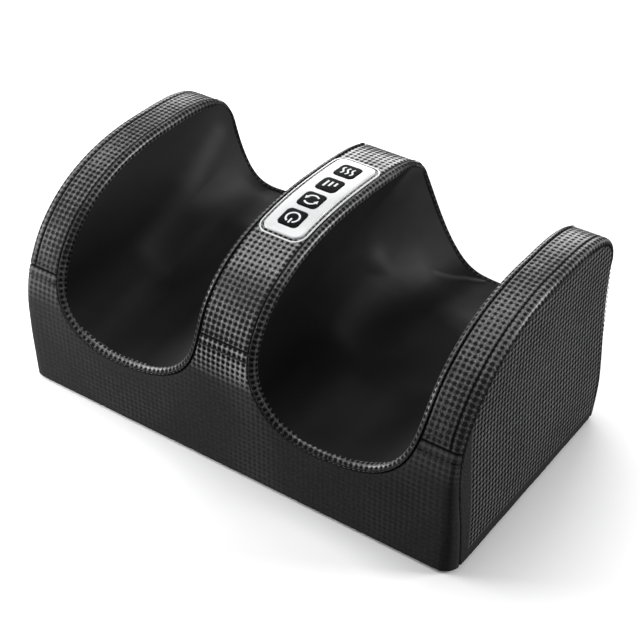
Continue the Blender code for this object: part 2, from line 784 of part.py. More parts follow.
def build_sills():
    front = -HALF_DEPTH + LINING
    rear = HALF_DEPTH - LINING
    for side_name, hand in (("left", -1), ("right", 1)):
        outline = sill_outline(hand, front + LEAST_CORNER)
        piece = prism(side_name + "_front_sill", outline, -front - SILL_THICK, -front, ALONG_Y, HOUSING, PARTS)
        smooth(keep(piece, LINING_BODY))
        outline = sill_outline(hand, rear - SILL_THICK)
        piece = prism(side_name + "_rear_sill", outline, -rear, -rear + SILL_THICK, ALONG_Y, HOUSING, PARTS)
        smooth(keep(piece, LINING_BODY))


def shaft_slots():
    """Slots, open below, that let the centre pod drop over the roller shafts."""
    slots = []
    radius = SHAFT_SLOT_RADIUS
    for y, height in ((FRONT_SHAFT_Y, FRONT_SHAFT_HEIGHT), (REAR_SHAFT_Y, REAR_SHAFT_HEIGHT)):
        steps = HOLE_SIDES // 2
        outline = [(y - radius, COVER_FOOT), (y + radius, COVER_FOOT)]
        outline += [(y + radius * math.cos(math.pi * step / steps),
                     height + radius * math.sin(math.pi * step / steps)) for step in range(steps + 1)]
        reach = CENTRE_POD_HALF + OVERRUN
        slots.append(cutter_prism("shaft_slot", outline, -reach, reach, ALONG_X))
    return slots


def add_bosses(pod, middle, low_x, high_x):
    """Screw posts inside a pod, each held by a rib between the pod's walls."""
    start = DECK + GAP
    for y in (BOSS_FRONT_Y, BOSS_REAR_Y):
        half = RIB_THICK / 2
        rib = cutter_box("boss_rib", (low_x, y - half, start), (high_x, y + half, BOSS_HEIGHT))
        post = drill("boss_post", BOSS_RADIUS, start, BOSS_HEIGHT + GAP, place=(middle, y, 0), sides=12)
        hole = drill("boss_hole", SCREW_RADIUS + GAP, 0, SCREW_LENGTH + COVER_FOOT + GAP + GAP,
                     place=(middle, y, 0), sides=12)
        join(pod, rib, post)
        cut(pod, hole)


def build_pods():
    inset = LINING + POD_WALL
    lower = DECK - OVERRUN
    for name, hand in (("left_pod", -1), ("right_pod", 1)):
        rings = [flat_ring(WING, LINING, DECK, hand * WING_POD_INNER)]
        rings += corner_rings(LINING, DECK, hand)[::-1]
        hollow = [flat_ring(WING, inset, lower, hand * (WING_POD_INNER + POD_WALL))]
        hollow += corner_rings(inset, lower, hand)[::-1]
        pod = loft(name, rings, HOUSING)
        cut(pod, cutter_loft(name + "_hollow", hollow))
        edges = sorted((hand * (WING_POD_INNER + POD_WALL / 2), hand * (HALF_WIDTH - LINING - POD_WALL / 2)))
        add_bosses(pod, hand * WING_POD_MIDDLE, *edges)
        smooth(pod)
    pod = prism("centre_pod", inner_view(BRIDGE, LINING, DECK), -CENTRE_POD_HALF, CENTRE_POD_HALF, ALONG_X,
                HOUSING, PARTS)
    reach = CENTRE_POD_HALF - POD_WALL
    cut(pod, cutter_prism("centre_hollow", inner_view(BRIDGE, inset, lower), -reach, reach, ALONG_X))
    edge = CENTRE_POD_HALF - POD_WALL / 2
    add_bosses(pod, 0, -edge, edge)
    cut(pod, WINDOW_CUT, INLET_CUT, *shaft_slots())
    smooth(pod)


def screw_places():
    for side_name, x in (("left", -WING_POD_MIDDLE), ("centre", 0), ("right", WING_POD_MIDDLE)):
        for end_name, y in (("front", BOSS_FRONT_Y), ("rear", BOSS_REAR_Y)):
            yield side_name + "_" + end_name, x, y


def foot_places():
    for side_name, x in (("left", -FOOT_X), ("right", FOOT_X)):
        for end_name, y in (("front", FOOT_FRONT_Y), ("rear", FOOT_REAR_Y)):
            yield side_name + "_" + end_name, x, y


def build_base():
    front = -HALF_DEPTH + LINING
    rear = HALF_DEPTH - HEEL_DEPTH - LINING - GAP
    corner = FRONT_CORNER - LINING
    outline = [(x, y + (front + rear) / 2)
               for x, y in rounded_rectangle(2 * (HALF_WIDTH - LINING), rear - front, corner, CORNER_STEPS)]
    base = prism("base_plate", outline, COVER_FOOT, BASE_TOP, (0, 0, 0), HOUSING, PARTS)
    for _, x, y in screw_places():
        cut(base, drill("screw_hole", SCREW_RADIUS + GAP, 0, DECK, place=(x, y, 0), sides=12))
        cut(base, drill("screw_seat", SCREW_HEAD_RADIUS + GAP, 0, COVER_FOOT + SCREW_HEAD_HEIGHT + GAP + GAP,
                        place=(x, y, 0), sides=16))
    for _, x, y in foot_places():
        cut(base, drill("foot_hole", FOOT_STEM_RADIUS + GAP, 0, DECK, place=(x, y, 0), sides=12))
    for x in (-WELL_CENTRE, WELL_CENTRE):
        for row in range(VENT_COUNT):
            y = VENT_INSET - HALF_DEPTH + row * VENT_PITCH
            cut(base, cutter_box("vent", (x - VENT_LENGTH / 2, y - VENT_WIDTH / 2, 0),
                                 (x + VENT_LENGTH / 2, y + VENT_WIDTH / 2, DECK)))


def build_screws_and_feet():
    head_low = COVER_FOOT + GAP
    head_high = head_low + SCREW_HEAD_HEIGHT
    screw = [(0, head_low + SCREW_LENGTH), (SCREW_RADIUS, head_low + SCREW_LENGTH - SCREW_RADIUS),
             (SCREW_RADIUS, head_high), (SCREW_HEAD_RADIUS, head_high), (SCREW_HEAD_RADIUS, head_low),
             (0, head_low)]
    for name, x, y in screw_places():
        smooth(turned("base_screw_" + name, screw, (0, 0, 0), (x, y, 0), STEEL, 12))
    head = DECK + FOOT_HEAD_HEIGHT
    foot = [(0, head), (FOOT_STEM_RADIUS, head), (FOOT_HEAD_RADIUS, DECK), (FOOT_STEM_RADIUS, DECK),
            (FOOT_STEM_RADIUS, FOOT_PAD), (FOOT_RADIUS, FOOT_PAD), (FOOT_RADIUS, 0), (0, 0)]
    for name, x, y in foot_places():
        smooth(turned("foot_" + name, foot, (0, 0, 0), (x, y, 0), RUBBER, 20))


def roller_profile():
    """Half section of a kneading roller: rings of lobes on a waist, round a bore."""
    half = ROLLER_LENGTH / 2
    ring_pitch = ROLLER_LENGTH / ROLLER_RINGS
    land = ring_pitch * ROLLER_LAND_SHARE / 2
    outer = []
    for ring in range(ROLLER_RINGS):
        middle = half - ring_pitch * (ring + 0.5)
        outer.append((ROLLER_WAIST_RADIUS, middle + ring_pitch / 2))
        outer.append((ROLLER_RADIUS, middle + land))
        outer.append((ROLLER_RADIUS, middle - land))
    outer.append((ROLLER_WAIST_RADIUS, -half))
    bore = SHAFT_RADIUS + GAP
    return outer + [(bore, -half), (bore, half)]


def lobed(piece, shift):
    """Draw the rings of a turned roller in between its lobes."""
    piece = baked(piece)
    for vertex in piece.data.vertices:
        x, y, z = vertex.co
        radius = math.hypot(x, y)
        if radius > ROLLER_WAIST_RADIUS + LEAST_CORNER:
            wave = (1 - math.cos(ROLLER_LOBES * (math.atan2(y, x) + shift))) / 2
            smaller = radius - (ROLLER_RADIUS - ROLLER_WAIST_RADIUS) * LOBE_DEPTH_SHARE * wave
            vertex.co.x = x * smaller / radius
            vertex.co.y = y * smaller / radius
    return smooth(piece)


def wheel_outline():
    """Teeth round a worm wheel, with a space at the worm's side, in the YZ plane."""
    points = []
    pitch = 2 * math.pi / WHEEL_TEETH
    for tooth in range(WHEEL_TEETH):
        middle = -DRIVE_TILT + (tooth + 0.5) * pitch
        for radius, share in ((WHEEL_ROOT_RADIUS, -TOOTH_ROOT_SHARE), (WHEEL_TIP_RADIUS, -TOOTH_TIP_SHARE),
                              (WHEEL_TIP_RADIUS, TOOTH_TIP_SHARE), (WHEEL_ROOT_RADIUS, TOOTH_ROOT_SHARE)):
            angle = middle + share * pitch / 2
            points.append((radius * math.sin(angle), radius * math.cos(angle)))
    return points


def moved_origin(piece, place):
    """Give an unturned piece its origin at a place, with its shape where it was."""
    shift = Vector(place)
    turn = piece.matrix_world.copy()
    piece.data.transform(Matrix.Translation(-shift) @ turn)
    piece.matrix_world = Matrix.Translation(shift)
    return piece


def build_roller_drive(end_name, y, height, shift):
    axis = (0, y, height)
    half = SHAFT_LENGTH / 2
    smooth(cylinder(end_name + "_roller_shaft", SHAFT_RADIUS, -half, half, TURNED_X, axis, 24, STEEL))
    outline = [(y + across, height + up) for across, up in wheel_outline()]
    wheel = prism(end_name + "_worm_wheel", outline, -WHEEL_WIDTH / 2, WHEEL_WIDTH / 2, ALONG_X, NYLON, PARTS)
    moved_origin(wheel, axis)
    reach = WHEEL_HUB_LENGTH / 2
    join(wheel, drill("wheel_hub", WHEEL_HUB_RADIUS, -reach, reach, TURNED_X, axis, 24))
    reach += OVERRUN
    cut(wheel, drill("wheel_bore", SHAFT_RADIUS + GAP, -reach, reach, TURNED_X, axis, 24))
    for side_name, hand in (("left", -1), ("right", 1)):
        place = (hand * WELL_CENTRE, y, height)
        roller = turned(end_name + "_" + side_name + "_roller", roller_profile(), TURNED_X, place, ROLLER,
                        ROLLER_SIDES, True)
        lobed(roller, shift)
        bearing_height = height - DECK
        outline = [(-BEARING_HALF_WIDTH, 0), (BEARING_HALF_WIDTH, 0),
                   (BEARING_HALF_WIDTH, BEARING_FOOT_HEIGHT)]
        steps = HOLE_SIDES // 2
        outline += [(BEARING_HEAD_RADIUS * math.cos(math.pi * step / steps),
                     bearing_height + BEARING_HEAD_RADIUS * math.sin(math.pi * step / steps))
                    for step in range(steps + 1)]
        outline.append((-BEARING_HALF_WIDTH, BEARING_FOOT_HEIGHT))
        outline = [(y + across, DECK + up) for across, up in outline]
        low, high = sorted((hand * (BEARING_X - BEARING_THICK / 2), hand * (BEARING_X + BEARING_THICK / 2)))
        block = prism(end_name + "_" + side_name + "_bearing", outline, low, high, ALONG_X, HOUSING, PARTS)
        cut(block, drill("bearing_bore", SHAFT_RADIUS + GAP, low - OVERRUN, high + OVERRUN, TURNED_X, axis))
        smooth(block)


def drive_frame():
    frame = bpy.data.objects.new("drive_frame", None)
    PARTS.objects.link(frame)
    frame.location = DRIVE_ORIGIN
    frame.rotation_euler = (DRIVE_TILT, 0, 0)
    return frame


def drive_point(along, up):
    """A point of the drive's own frame, seen from the side."""
    _, y, z = DRIVE_ORIGIN
    return (y + along * math.cos(DRIVE_TILT) - up * math.sin(DRIVE_TILT),
            z + along * math.sin(DRIVE_TILT) + up * math.cos(DRIVE_TILT))


def build_gearbox_plates():
    outline = [(FRONT_SHAFT_Y - PLATE_REACH, DECK), (REAR_SHAFT_Y + PLATE_REACH, DECK),
               drive_point(PLATE_HALF_LENGTH, PLATE_TOP), drive_point(-PLATE_HALF_LENGTH, PLATE_TOP)]
    middle = PLATE_INNER_X + PLATE_THICK / 2
    bore = SHAFT_RADIUS + GAP
    ring = [(BUSH_RADIUS, BUSH_LENGTH / 2), (BUSH_RADIUS, -BUSH_LENGTH / 2), (bore, -BUSH_LENGTH / 2),
            (bore, BUSH_LENGTH / 2)]
    shafts = (("front", FRONT_SHAFT_Y, FRONT_SHAFT_HEIGHT), ("rear", REAR_SHAFT_Y, REAR_SHAFT_HEIGHT))
    for side_name, hand in (("left", -1), ("right", 1)):
        low, high = sorted((hand * PLATE_INNER_X, hand * (PLATE_INNER_X + PLATE_THICK)))
        plate = prism("gearbox_" + side_name + "_plate", outline, low, high, ALONG_X, HOUSING, PARTS)
        for end_name, y, height in shafts:
            cut(plate, drill("bush_hole", BUSH_RADIUS + GAP, low - OVERRUN, high + OVERRUN, TURNED_X,
                             (0, y, height)))
            smooth(turned(end_name + "_" + side_name + "_bush", ring, TURNED_X, (hand * middle, y, height),
                          BRONZE, HOLE_SIDES, True))
        smooth(plate)


def build_motor(frame):
    """The motor lies behind the rear wheel, and its long shaft carries two worms over the wheels."""
    reach = PLATE_INNER_X - GAP
    mount_end = MOUNT_START + MOUNT_THICK
    mount = box("motor_mount", (-reach, MOUNT_START, MOUNT_LOW), (reach, mount_end, MOUNT_HIGH), HOUSING)
    hole = drill("motor_hole", MOTOR_BOSS_RADIUS + GAP, MOUNT_START - OVERRUN, mount_end + OVERRUN, TURNED_Y,
                 (0, 0, WORM_HEIGHT))
    cut(mount, hole)
    block = box("worm_bearing_block", (-reach, -mount_end, END_BLOCK_LOW),
                (reach, -MOUNT_START, END_BLOCK_HIGH), HOUSING)
    bore_hole = drill("worm_bore", WORM_SHAFT_RADIUS + GAP, -mount_end - OVERRUN, -MOUNT_START + OVERRUN,
                      TURNED_Y, (0, 0, WORM_HEIGHT))
    cut(block, bore_hole)
    front = mount_end + GAP
    rear = front + MOTOR_LENGTH
    bore = WORM_SHAFT_RADIUS + GAP
    bore_end = front + MOTOR_BORE_DEPTH
    can = [(0, rear), (MOTOR_RADIUS - MOTOR_EDGE, rear), (MOTOR_RADIUS, rear - MOTOR_EDGE),
           (MOTOR_RADIUS, front + MOTOR_EDGE), (MOTOR_RADIUS - MOTOR_EDGE, front), (MOTOR_BOSS_RADIUS, front),
           (MOTOR_BOSS_RADIUS, front - MOTOR_BOSS_LENGTH), (bore, front - MOTOR_BOSS_LENGTH),
           (bore, bore_end), (0, bore_end)]
    motor = turned("drive_motor", can, TURNED_Y, (0, 0, WORM_HEIGHT), STEEL, 28)
    smooth(motor)
    worm = worm_shaft(-mount_end, bore_end - GAP)
    for piece in (mount, hole, block, bore_hole, motor, worm):
        piece.parent = frame


def worm_shaft(low, high):
    """A stepped shaft with a right-hand thread over each worm wheel."""
    reach = THREAD_PITCH * THREAD_TURNS / 2 + THREAD_WIRE_RADIUS + GAP
    profile = [(0, high), (WORM_SHAFT_RADIUS, high)]
    for middle in (DRIVE_HALF, -DRIVE_HALF):
        profile += [(WORM_SHAFT_RADIUS, middle + reach), (WORM_CORE_RADIUS, middle + reach),
                    (WORM_CORE_RADIUS, middle - reach), (WORM_SHAFT_RADIUS, middle - reach)]
    profile += [(WORM_SHAFT_RADIUS, low), (0, low)]
    shaft = turned("worm_shaft", profile, (0, 0, 0), (0, 0, 0), STEEL, 16)
    shaft = baked(shaft)
    shaft.data.transform(Matrix.Rotation(-math.pi / 2, 4, "X"))
    for middle in (-DRIVE_HALF, DRIVE_HALF):
        join(shaft, thread(middle))
    shaft = baked(shaft)
    shaft.location = (0, 0, WORM_HEIGHT)
    return smooth(shaft)


def thread(middle):
    curve = bpy.data.curves.new("thread", "CURVE")
    curve.dimensions = "3D"
    curve.bevel_depth = THREAD_WIRE_RADIUS
    curve.bevel_resolution = 1
    curve.use_fill_caps = True
    line = curve.splines.new("POLY")
    count = THREAD_TURNS * THREAD_STEPS
    line.points.add(count)
    for step, point in enumerate(line.points):
        angle = 2 * math.pi * THREAD_TURNS * (step / count - 0.5)
        along = middle + THREAD_PITCH * angle / (2 * math.pi)
        point.co = (-THREAD_PATH_RADIUS * math.sin(angle), along, -THREAD_PATH_RADIUS * math.cos(angle), 1)
    drawn = bpy.data.objects.new("thread", curve)
    CUTTERS.objects.link(drawn)
    return hide_cutter(baked(drawn))


def panel_strip(name, top_out, bottom_line):
    """A slice of the bridge's side view that follows its curve above and a given line below."""
    reach = BEZEL_LENGTH / 2 + OVERRUN
    curve = inner_view(BRIDGE, -top_out, COVER_FOOT, PANEL_STEPS)
    upper = [(y, z) for y, z in curve if abs(y - BEZEL_Y) < reach and z > BRIDGE_FRONT_HEIGHT]
    outline = upper + bottom_line[::-1]
    return cutter_prism(name, outline[::-1], -BRIDGE_WIDTH / 2, BRIDGE_WIDTH / 2, ALONG_X)


def bridge_surface(y):
    """Height and slope of the bridge's top."""
    step = COVER_THICK
    height = top_height(BRIDGE, 0, y, PANEL_STEPS)
    rise = top_height(BRIDGE, 0, y + step, PANEL_STEPS) - top_height(BRIDGE, 0, y - step, PANEL_STEPS)
    return height, math.atan(rise / (2 * step))


BUTTON_NAMES = ("power_button", "direction_button", "speed_button", "heat_button")
BUTTON_PLACES = [BUTTON_MIDDLE_Y + BUTTON_PITCH * (row - 1.5) for row in range(len(BUTTON_NAMES))]


def board_line():
    """Middle and slope of the button board's top face, seen from the side."""
    first, last = BUTTON_PLACES[0], BUTTON_PLACES[-1]
    low, high = bridge_surface(first)[0], bridge_surface(last)[0]
    tilt = math.atan2(high - low, last - first)
    middle = ((first + last) / 2, (low + high) / 2)
    return (middle[0] + BOARD_DEPTH * math.sin(tilt), middle[1] - BOARD_DEPTH * math.cos(tilt)), tilt


def board_height(y):
    (middle_y, middle_z), tilt = board_line()
    return middle_z + (y - middle_y) * math.tan(tilt)


def button_frame(y, out):
    """Where a button's axis meets the bridge, moved out along that axis, and its turn."""
    height, slope = bridge_surface(y)
    return (0, y - out * math.sin(slope), height + out * math.cos(slope)), (slope, 0, 0)


def build_bezel():
    plan = [(x, y + BEZEL_Y) for x, y in rounded_rectangle(BEZEL_WIDTH, BEZEL_LENGTH, BEZEL_CORNER, 5)]
    bezel = prism("panel_bezel", plan, BRIDGE_FRONT_HEIGHT, HIGH, (0, 0, 0), WHITE, PARTS)
    reach = BEZEL_LENGTH / 2 + OVERRUN
    under = [(y, z) for y, z in inner_view(BRIDGE, -GAP, COVER_FOOT, PANEL_STEPS)
             if abs(y - BEZEL_Y) < reach and z > BRIDGE_FRONT_HEIGHT]
    keep(bezel, panel_strip("bezel_top", BEZEL_RISE, under))
    skirt_plan = rounded_rectangle(WINDOW_WIDTH - 2 * GAP, WINDOW_LENGTH - 2 * GAP, WINDOW_CORNER - GAP)
    skirt_plan = [(x, y + BEZEL_Y) for x, y in skirt_plan]
    skirt = cutter_prism("bezel_skirt", skirt_plan, BRIDGE_FRONT_HEIGHT, HIGH, (0, 0, 0))
    ends = (BEZEL_Y - reach, BEZEL_Y + reach)
    keep(skirt, panel_strip("skirt_slice", BEZEL_RISE / 2, [(y, board_height(y) + GAP) for y in ends]))
    join(bezel, skirt)
    for y in BUTTON_PLACES:
        hole_plan = rounded_rectangle(BUTTON_WIDTH + 2 * GAP, BUTTON_LENGTH + 2 * GAP, BUTTON_CORNER + GAP)
        hole = cutter_prism("button_hole", hole_plan, -BUTTON_LENGTH, BUTTON_LENGTH, (0, 0, 0))
        hole.location, hole.rotation_euler = button_frame(y, 0)
        cut(bezel, hole)
    smooth(bezel)


def build_buttons():
    """Caps with a stem below, and the board with a switch under each stem."""
    (middle_y, middle_z), tilt = board_line()
    shift = BEZEL_Y - BUTTON_MIDDLE_Y
    board = box("button_board", (-BOARD_WIDTH / 2, shift - BOARD_LENGTH / 2, -BOARD_THICK),
                (BOARD_WIDTH / 2, shift + BOARD_LENGTH / 2, 0), CIRCUIT)
    board.location = (0, middle_y, middle_z)
    board.rotation_euler = (tilt, 0, 0)
    place = Matrix.Translation(board.location) @ Matrix.Rotation(tilt, 4, "X")
    for name, y in zip(BUTTON_NAMES, BUTTON_PLACES):
        start, turn = button_frame(y, 0)
        normal = Vector((0, -math.sin(turn[0]), math.cos(turn[0])))
        local = place.inverted() @ Vector(start)
        local_normal = (place.inverted().to_3x3() @ normal)
        depth = (local.z - SWITCH_HEIGHT) / local_normal.z
        seat = local - local_normal * depth
        switch = box("switch", (-SWITCH_SIZE / 2, seat.y - SWITCH_SIZE / 2, -BOARD_THICK / 2),
                     (SWITCH_SIZE / 2, seat.y + SWITCH_SIZE / 2, SWITCH_HEIGHT), None, CUTTERS)
        hide_cutter(switch)
        switch.matrix_world = place
        join(board, switch)
        top = BEZEL_RISE + BUTTON_PROUD
        stem_end = -depth + BUTTON_TRAVEL + 2 * GAP
        plan = rounded_rectangle(BUTTON_WIDTH, BUTTON_LENGTH, BUTTON_CORNER)
        cap = prism(name, plan, -BUTTON_DEPTH, top, (0, 0, 0), BUTTON, PARTS)
        half = STEM_SIZE / 2
        stem = cutter_box("stem", (-half, -half, stem_end), (half, half, 0))
        cap.data.transform(cap.matrix_world)
        for piece in (cap, stem):
            piece.matrix_world = Matrix.Translation(start) @ Matrix.Rotation(turn[0], 4, "X")
        join(cap, stem)
        smooth(cap)


def build_electrics():
    pin_end = INLET_PIN_LENGTH - INLET_BORE_DEPTH
    inlet = [(0, pin_end), (INLET_PIN_RADIUS, pin_end), (INLET_PIN_RADIUS, -INLET_BORE_DEPTH),
             (INLET_BORE_RADIUS, -INLET_BORE_DEPTH), (INLET_BORE_RADIUS, 0), (INLET_RADIUS, 0),
             (INLET_RADIUS, -INLET_LENGTH), (0, -INLET_LENGTH)]
    smooth(turned("power_inlet", inlet, TURNED_Y, (0, HALF_DEPTH - GAP, INLET_HEIGHT), BUTTON, 16))
    low_x = WING_POD_MIDDLE - BOARD_THICK / 2
    board = box("control_board", (low_x, -CONTROL_BOARD_LENGTH / 2, DECK),
                (low_x + BOARD_THICK, CONTROL_BOARD_LENGTH / 2, DECK + CONTROL_BOARD_HEIGHT), CIRCUIT)
    for share in CONTROL_PART_SHARES:
        y = share * CONTROL_BOARD_LENGTH
        z = DECK + CONTROL_BOARD_HEIGHT * (0.5 + share / 2)
        half = CONTROL_PART_SIZE / 2
        join(board, cutter_box("board_part", (low_x - half, y - half, z - half),
                               (low_x + BOARD_THICK / 2, y + half, z + half)))
    for name, hand in (("left", -1), ("right", 1)):
        low, high = sorted((hand * (CENTRE_POD_HALF + GAP), hand * (CENTRE_POD_HALF + GAP + FILM_THICK)))
        box(name + "_heating_film", (low, FILM_Y - FILM_LENGTH / 2, FILM_LOW),
            (high, FILM_Y + FILM_LENGTH / 2, FILM_HIGH), FILM)


build_front_panel()
build_back_panel()
build_bands()
build_side_panels()
build_liner("left_well_liner", -1)
build_liner("right_well_liner", 1)
build_sills()
build_pods()
build_base()
build_screws_and_feet()
build_roller_drive("front", FRONT_SHAFT_Y, FRONT_SHAFT_HEIGHT, 0)
build_roller_drive("rear", REAR_SHAFT_Y, REAR_SHAFT_HEIGHT, math.pi / ROLLER_LOBES)
build_gearbox_plates()
build_motor(drive_frame())
build_bezel()
build_buttons()
build_electrics()
bpy.context.view_layer.update()
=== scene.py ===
"""Roller foot massager: sewn covers, stretch liners, control panel, finishes, studio and camera."""
import bisect
import math
import bpy
import numpy as np
from mathutils import Matrix, Vector, noise
from mathutils.geometry import delaunay_2d_cdt


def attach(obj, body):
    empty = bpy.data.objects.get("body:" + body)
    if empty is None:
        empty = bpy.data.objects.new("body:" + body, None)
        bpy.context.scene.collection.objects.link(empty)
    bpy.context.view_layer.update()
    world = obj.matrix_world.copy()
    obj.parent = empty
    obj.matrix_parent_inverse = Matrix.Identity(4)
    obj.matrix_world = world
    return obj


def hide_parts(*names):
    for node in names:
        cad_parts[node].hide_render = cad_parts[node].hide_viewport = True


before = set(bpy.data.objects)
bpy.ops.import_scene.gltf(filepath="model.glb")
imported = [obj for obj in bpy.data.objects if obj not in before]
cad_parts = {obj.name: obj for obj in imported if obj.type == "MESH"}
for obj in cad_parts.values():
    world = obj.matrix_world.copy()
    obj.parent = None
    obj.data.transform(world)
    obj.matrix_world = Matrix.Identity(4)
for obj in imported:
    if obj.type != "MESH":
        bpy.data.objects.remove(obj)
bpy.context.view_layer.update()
CAD_NODES = [piece for piece in bpy.data.objects if piece.type == "MESH"]
HANDS = ((-1, "left"), (1, "right"))

# Housing outline, as in the part's source
HALF_WIDTH = 0.190
HALF_DEPTH = 0.108
FOOT = 0.0025
APEX_Y = 0.029
BRIDGE_HEIGHT = 0.175
# Height at the apex, height of the front corner and of the rear corner, and how full the curves between are
SIDES = {"wing": (0.1725, 0.0655, 0.142, (0.43, 0.77, 0.28, 1.15)),
         "bridge": (BRIDGE_HEIGHT, 0.0855, 0.1595, (0.50, 0.78, 0.26, 1.00))}
HEEL_HEIGHT = 0.040
HEEL_DEPTH = 0.0065
FRONT_STEPS, REAR_STEPS, HEEL_STEPS = 60, 40, 8
FRONT_CORNER = 0.012
REAR_CORNER = 0.008
SEAM_CORNER = 0.0045
FRONT_SEAMS = {"wing": 0.103, "bridge": 0.1125}
REAR_SEAM = 0.131

# Wells. A pair gives the front and then the back.
WELL_CENTRE = 0.09125
WELL_HALF = 0.06595
WELL_FLOOR = (0.058, 0.090)
WELL_TOP = (0.1175, 0.170)
WELL_SKEW = 0.005
WELL_LEAN = 0.006
WALL_OVERRUN = 0.010
SHAFTS_Y = (-0.041, 0.044)
HUMP = 0.004
HUMP_REACH = 0.025
# How square a section is, across and down: the same all round at the front, and by wall at the back
FRONT_POWER = 2.5
WING_POWERS = (4.6, 1.0)
BRIDGE_POWERS = (2.6, 0.72)

# Sewing
RIM_STEP = 0.0022
STRIP = 0.0047
SEAM_GAP = 0.0001
OUTER_SEAM_X = 0.1822
SKIN = 0.0012
CROWN = 0.0003
PITCH = 0.0043
LINING = 0.0030

# The padded swell of the sides fades out towards the top and towards the middle
BELLY = 0.0032
BELLY_TOP, BELLY_FADE = 0.115, 0.085
BELLY_INNER, BELLY_REACH = 0.165, 0.022


def clamp(value):
    return min(max(value, 0), 1)


def smooth(share):
    return share ** 2 * (3 - 2 * share)


def blend(value, low, high, start, end):
    return start + (end - start) * clamp((value - low) / (high - low))


def bezier(a, b, c, d, count):
    points = []
    for step in range(1, count + 1):
        t = step / count
        w = ((1 - t) ** 3, 3 * (1 - t) ** 2 * t, 3 * (1 - t) * t * t, t ** 3)
        points.append(tuple(sum(k * p[i] for k, p in zip(w, (a, b, c, d))) for i in (0, 1)))
    return points


def lengths_of(points):
    """Length along a line at each of its points."""
    lengths = [0]
    for here, there in zip(points, points[1:]):
        lengths.append(lengths[-1] + math.dist(here, there))
    return lengths


def readings(points, value, axis):
    """The other coordinate of a flat line at each place where one coordinate rises through a value."""
    other = 1 - axis
    return [a[other] + (b[other] - a[other]) * (value - a[axis]) / (b[axis] - a[axis])
            for a, b in zip(points, points[1:]) if a[axis] <= value <= b[axis] and b[axis] > a[axis]]


def resampled(points, step=None, count=None):
    """Points at equal steps along an open line of any dimension."""
    lengths = lengths_of(points)
    count = count or max(round(lengths[-1] / step), 2)
    result = []
    piece = 0
    for index in range(count + 1):
        want = lengths[-1] * index / count
        while piece < len(points) - 2 and lengths[piece + 1] < want:
            piece += 1
        span = lengths[piece + 1] - lengths[piece]
        share = (want - lengths[piece]) / span if span else 0
        result.append(tuple(a + (b - a) * share for a, b in zip(points[piece], points[piece + 1])))
    return result


def trimmed(points, top):
    """A flat line from its start up to where its second coordinate first passes a value."""
    kept = [points[0]]
    for low, high in zip(points, points[1:]):
        if high[1] > top:
            share = (top - low[1]) / (high[1] - low[1])
            if share > 0:
                kept.append((low[0] + (high[0] - low[0]) * share, top))
            break
        kept.append(high)
    return kept


class Outline:
    """The housing from the side as one line that is measured along its length."""

    def __init__(self, side, from_back=False):
        height, front, rear, (front_rise, front_run, rear_run, rear_rise) = side
        line = [(-HALF_DEPTH, FOOT), (-HALF_DEPTH, front)]
        line += bezier((-HALF_DEPTH, front), (-HALF_DEPTH, front + front_rise * (height - front)),
                       (APEX_Y - front_run * (APEX_Y + HALF_DEPTH), height), (APEX_Y, height),
                       FRONT_STEPS)
        line += bezier((APEX_Y, height), (APEX_Y + rear_run * (HALF_DEPTH - APEX_Y), height),
                       (HALF_DEPTH, rear + rear_rise * (height - rear)), (HALF_DEPTH, rear),
                       REAR_STEPS)
        for step in range(HEEL_STEPS + 1):
            share = step / HEEL_STEPS
            line.append((HALF_DEPTH - HEEL_DEPTH * share ** 2, HEEL_HEIGHT + (FOOT - HEEL_HEIGHT) * share))
        if from_back:
            line.reverse()
        self.line = line
        self.lengths = lengths_of(line)
        self.total = self.lengths[-1]
        self.normals = []
        for here in range(len(line)):
            along = Vector(line[min(here + 1, len(line) - 1)]) - Vector(line[max(here - 1, 0)])
            along.normalize()
            self.normals.append(Vector((-along.y, along.x)) * (-1 if from_back else 1))

    def at(self, s):
        """Point and outward normal at a length along the line."""
        low = min(max(bisect.bisect_right(self.lengths, s) - 1, 0), len(self.line) - 2)
        share = (s - self.lengths[low]) / (self.lengths[low + 1] - self.lengths[low])
        point = Vector(self.line[low]).lerp(Vector(self.line[low + 1]), share)
        return point, self.normals[low].lerp(self.normals[low + 1], clamp(share)).normalized()

    def first_at_height(self, z):
        """Length where the line first reaches a height."""
        for here, (start, end) in enumerate(zip(self.line, self.line[1:])):
            if start[1] <= z <= end[1] and end[1] > start[1]:
                share = (z - start[1]) / (end[1] - start[1])
                return self.lengths[here] + share * (self.lengths[here + 1] - self.lengths[here])
        raise ValueError("height not on the line")


FRONT_LINES = {name: Outline(side) for name, side in SIDES.items()}
BACK_LINES = {name: Outline(side, True) for name, side in SIDES.items()}
# Where the cover pieces are joined across a wing and the bridge, along the front outline
SEAM_START = {name: line.first_at_height(FRONT_SEAMS[name]) for name, line in FRONT_LINES.items()}
SEAM_END = {name: line.total - BACK_LINES[name].first_at_height(REAR_SEAM)
            for name, line in FRONT_LINES.items()}


def corner_radius(y, z):
    if y < 0:
        return blend(z, FOOT, FRONT_SEAMS["wing"], FRONT_CORNER, SEAM_CORNER)
    return blend(z, REAR_SEAM, SIDES["wing"][2], REAR_CORNER, SEAM_CORNER)


def side_end(line, s):
    """How far across, measured over the round corner, a cover reaches before its side seam."""
    point, _ = line.at(s)
    return HALF_WIDTH + corner_radius(*point) * (math.pi / 2 - 1)


def swell(place):
    """Move a place outwards where the padded side of the housing is fullest."""
    fall = clamp((BELLY_TOP - place.z) / BELLY_FADE)
    side = clamp((abs(place.x) - BELLY_INNER) / BELLY_REACH)
    size = BELLY * smooth(fall) * smooth(side)
    return Vector((place.x + math.copysign(size, place.x), place.y, place.z))


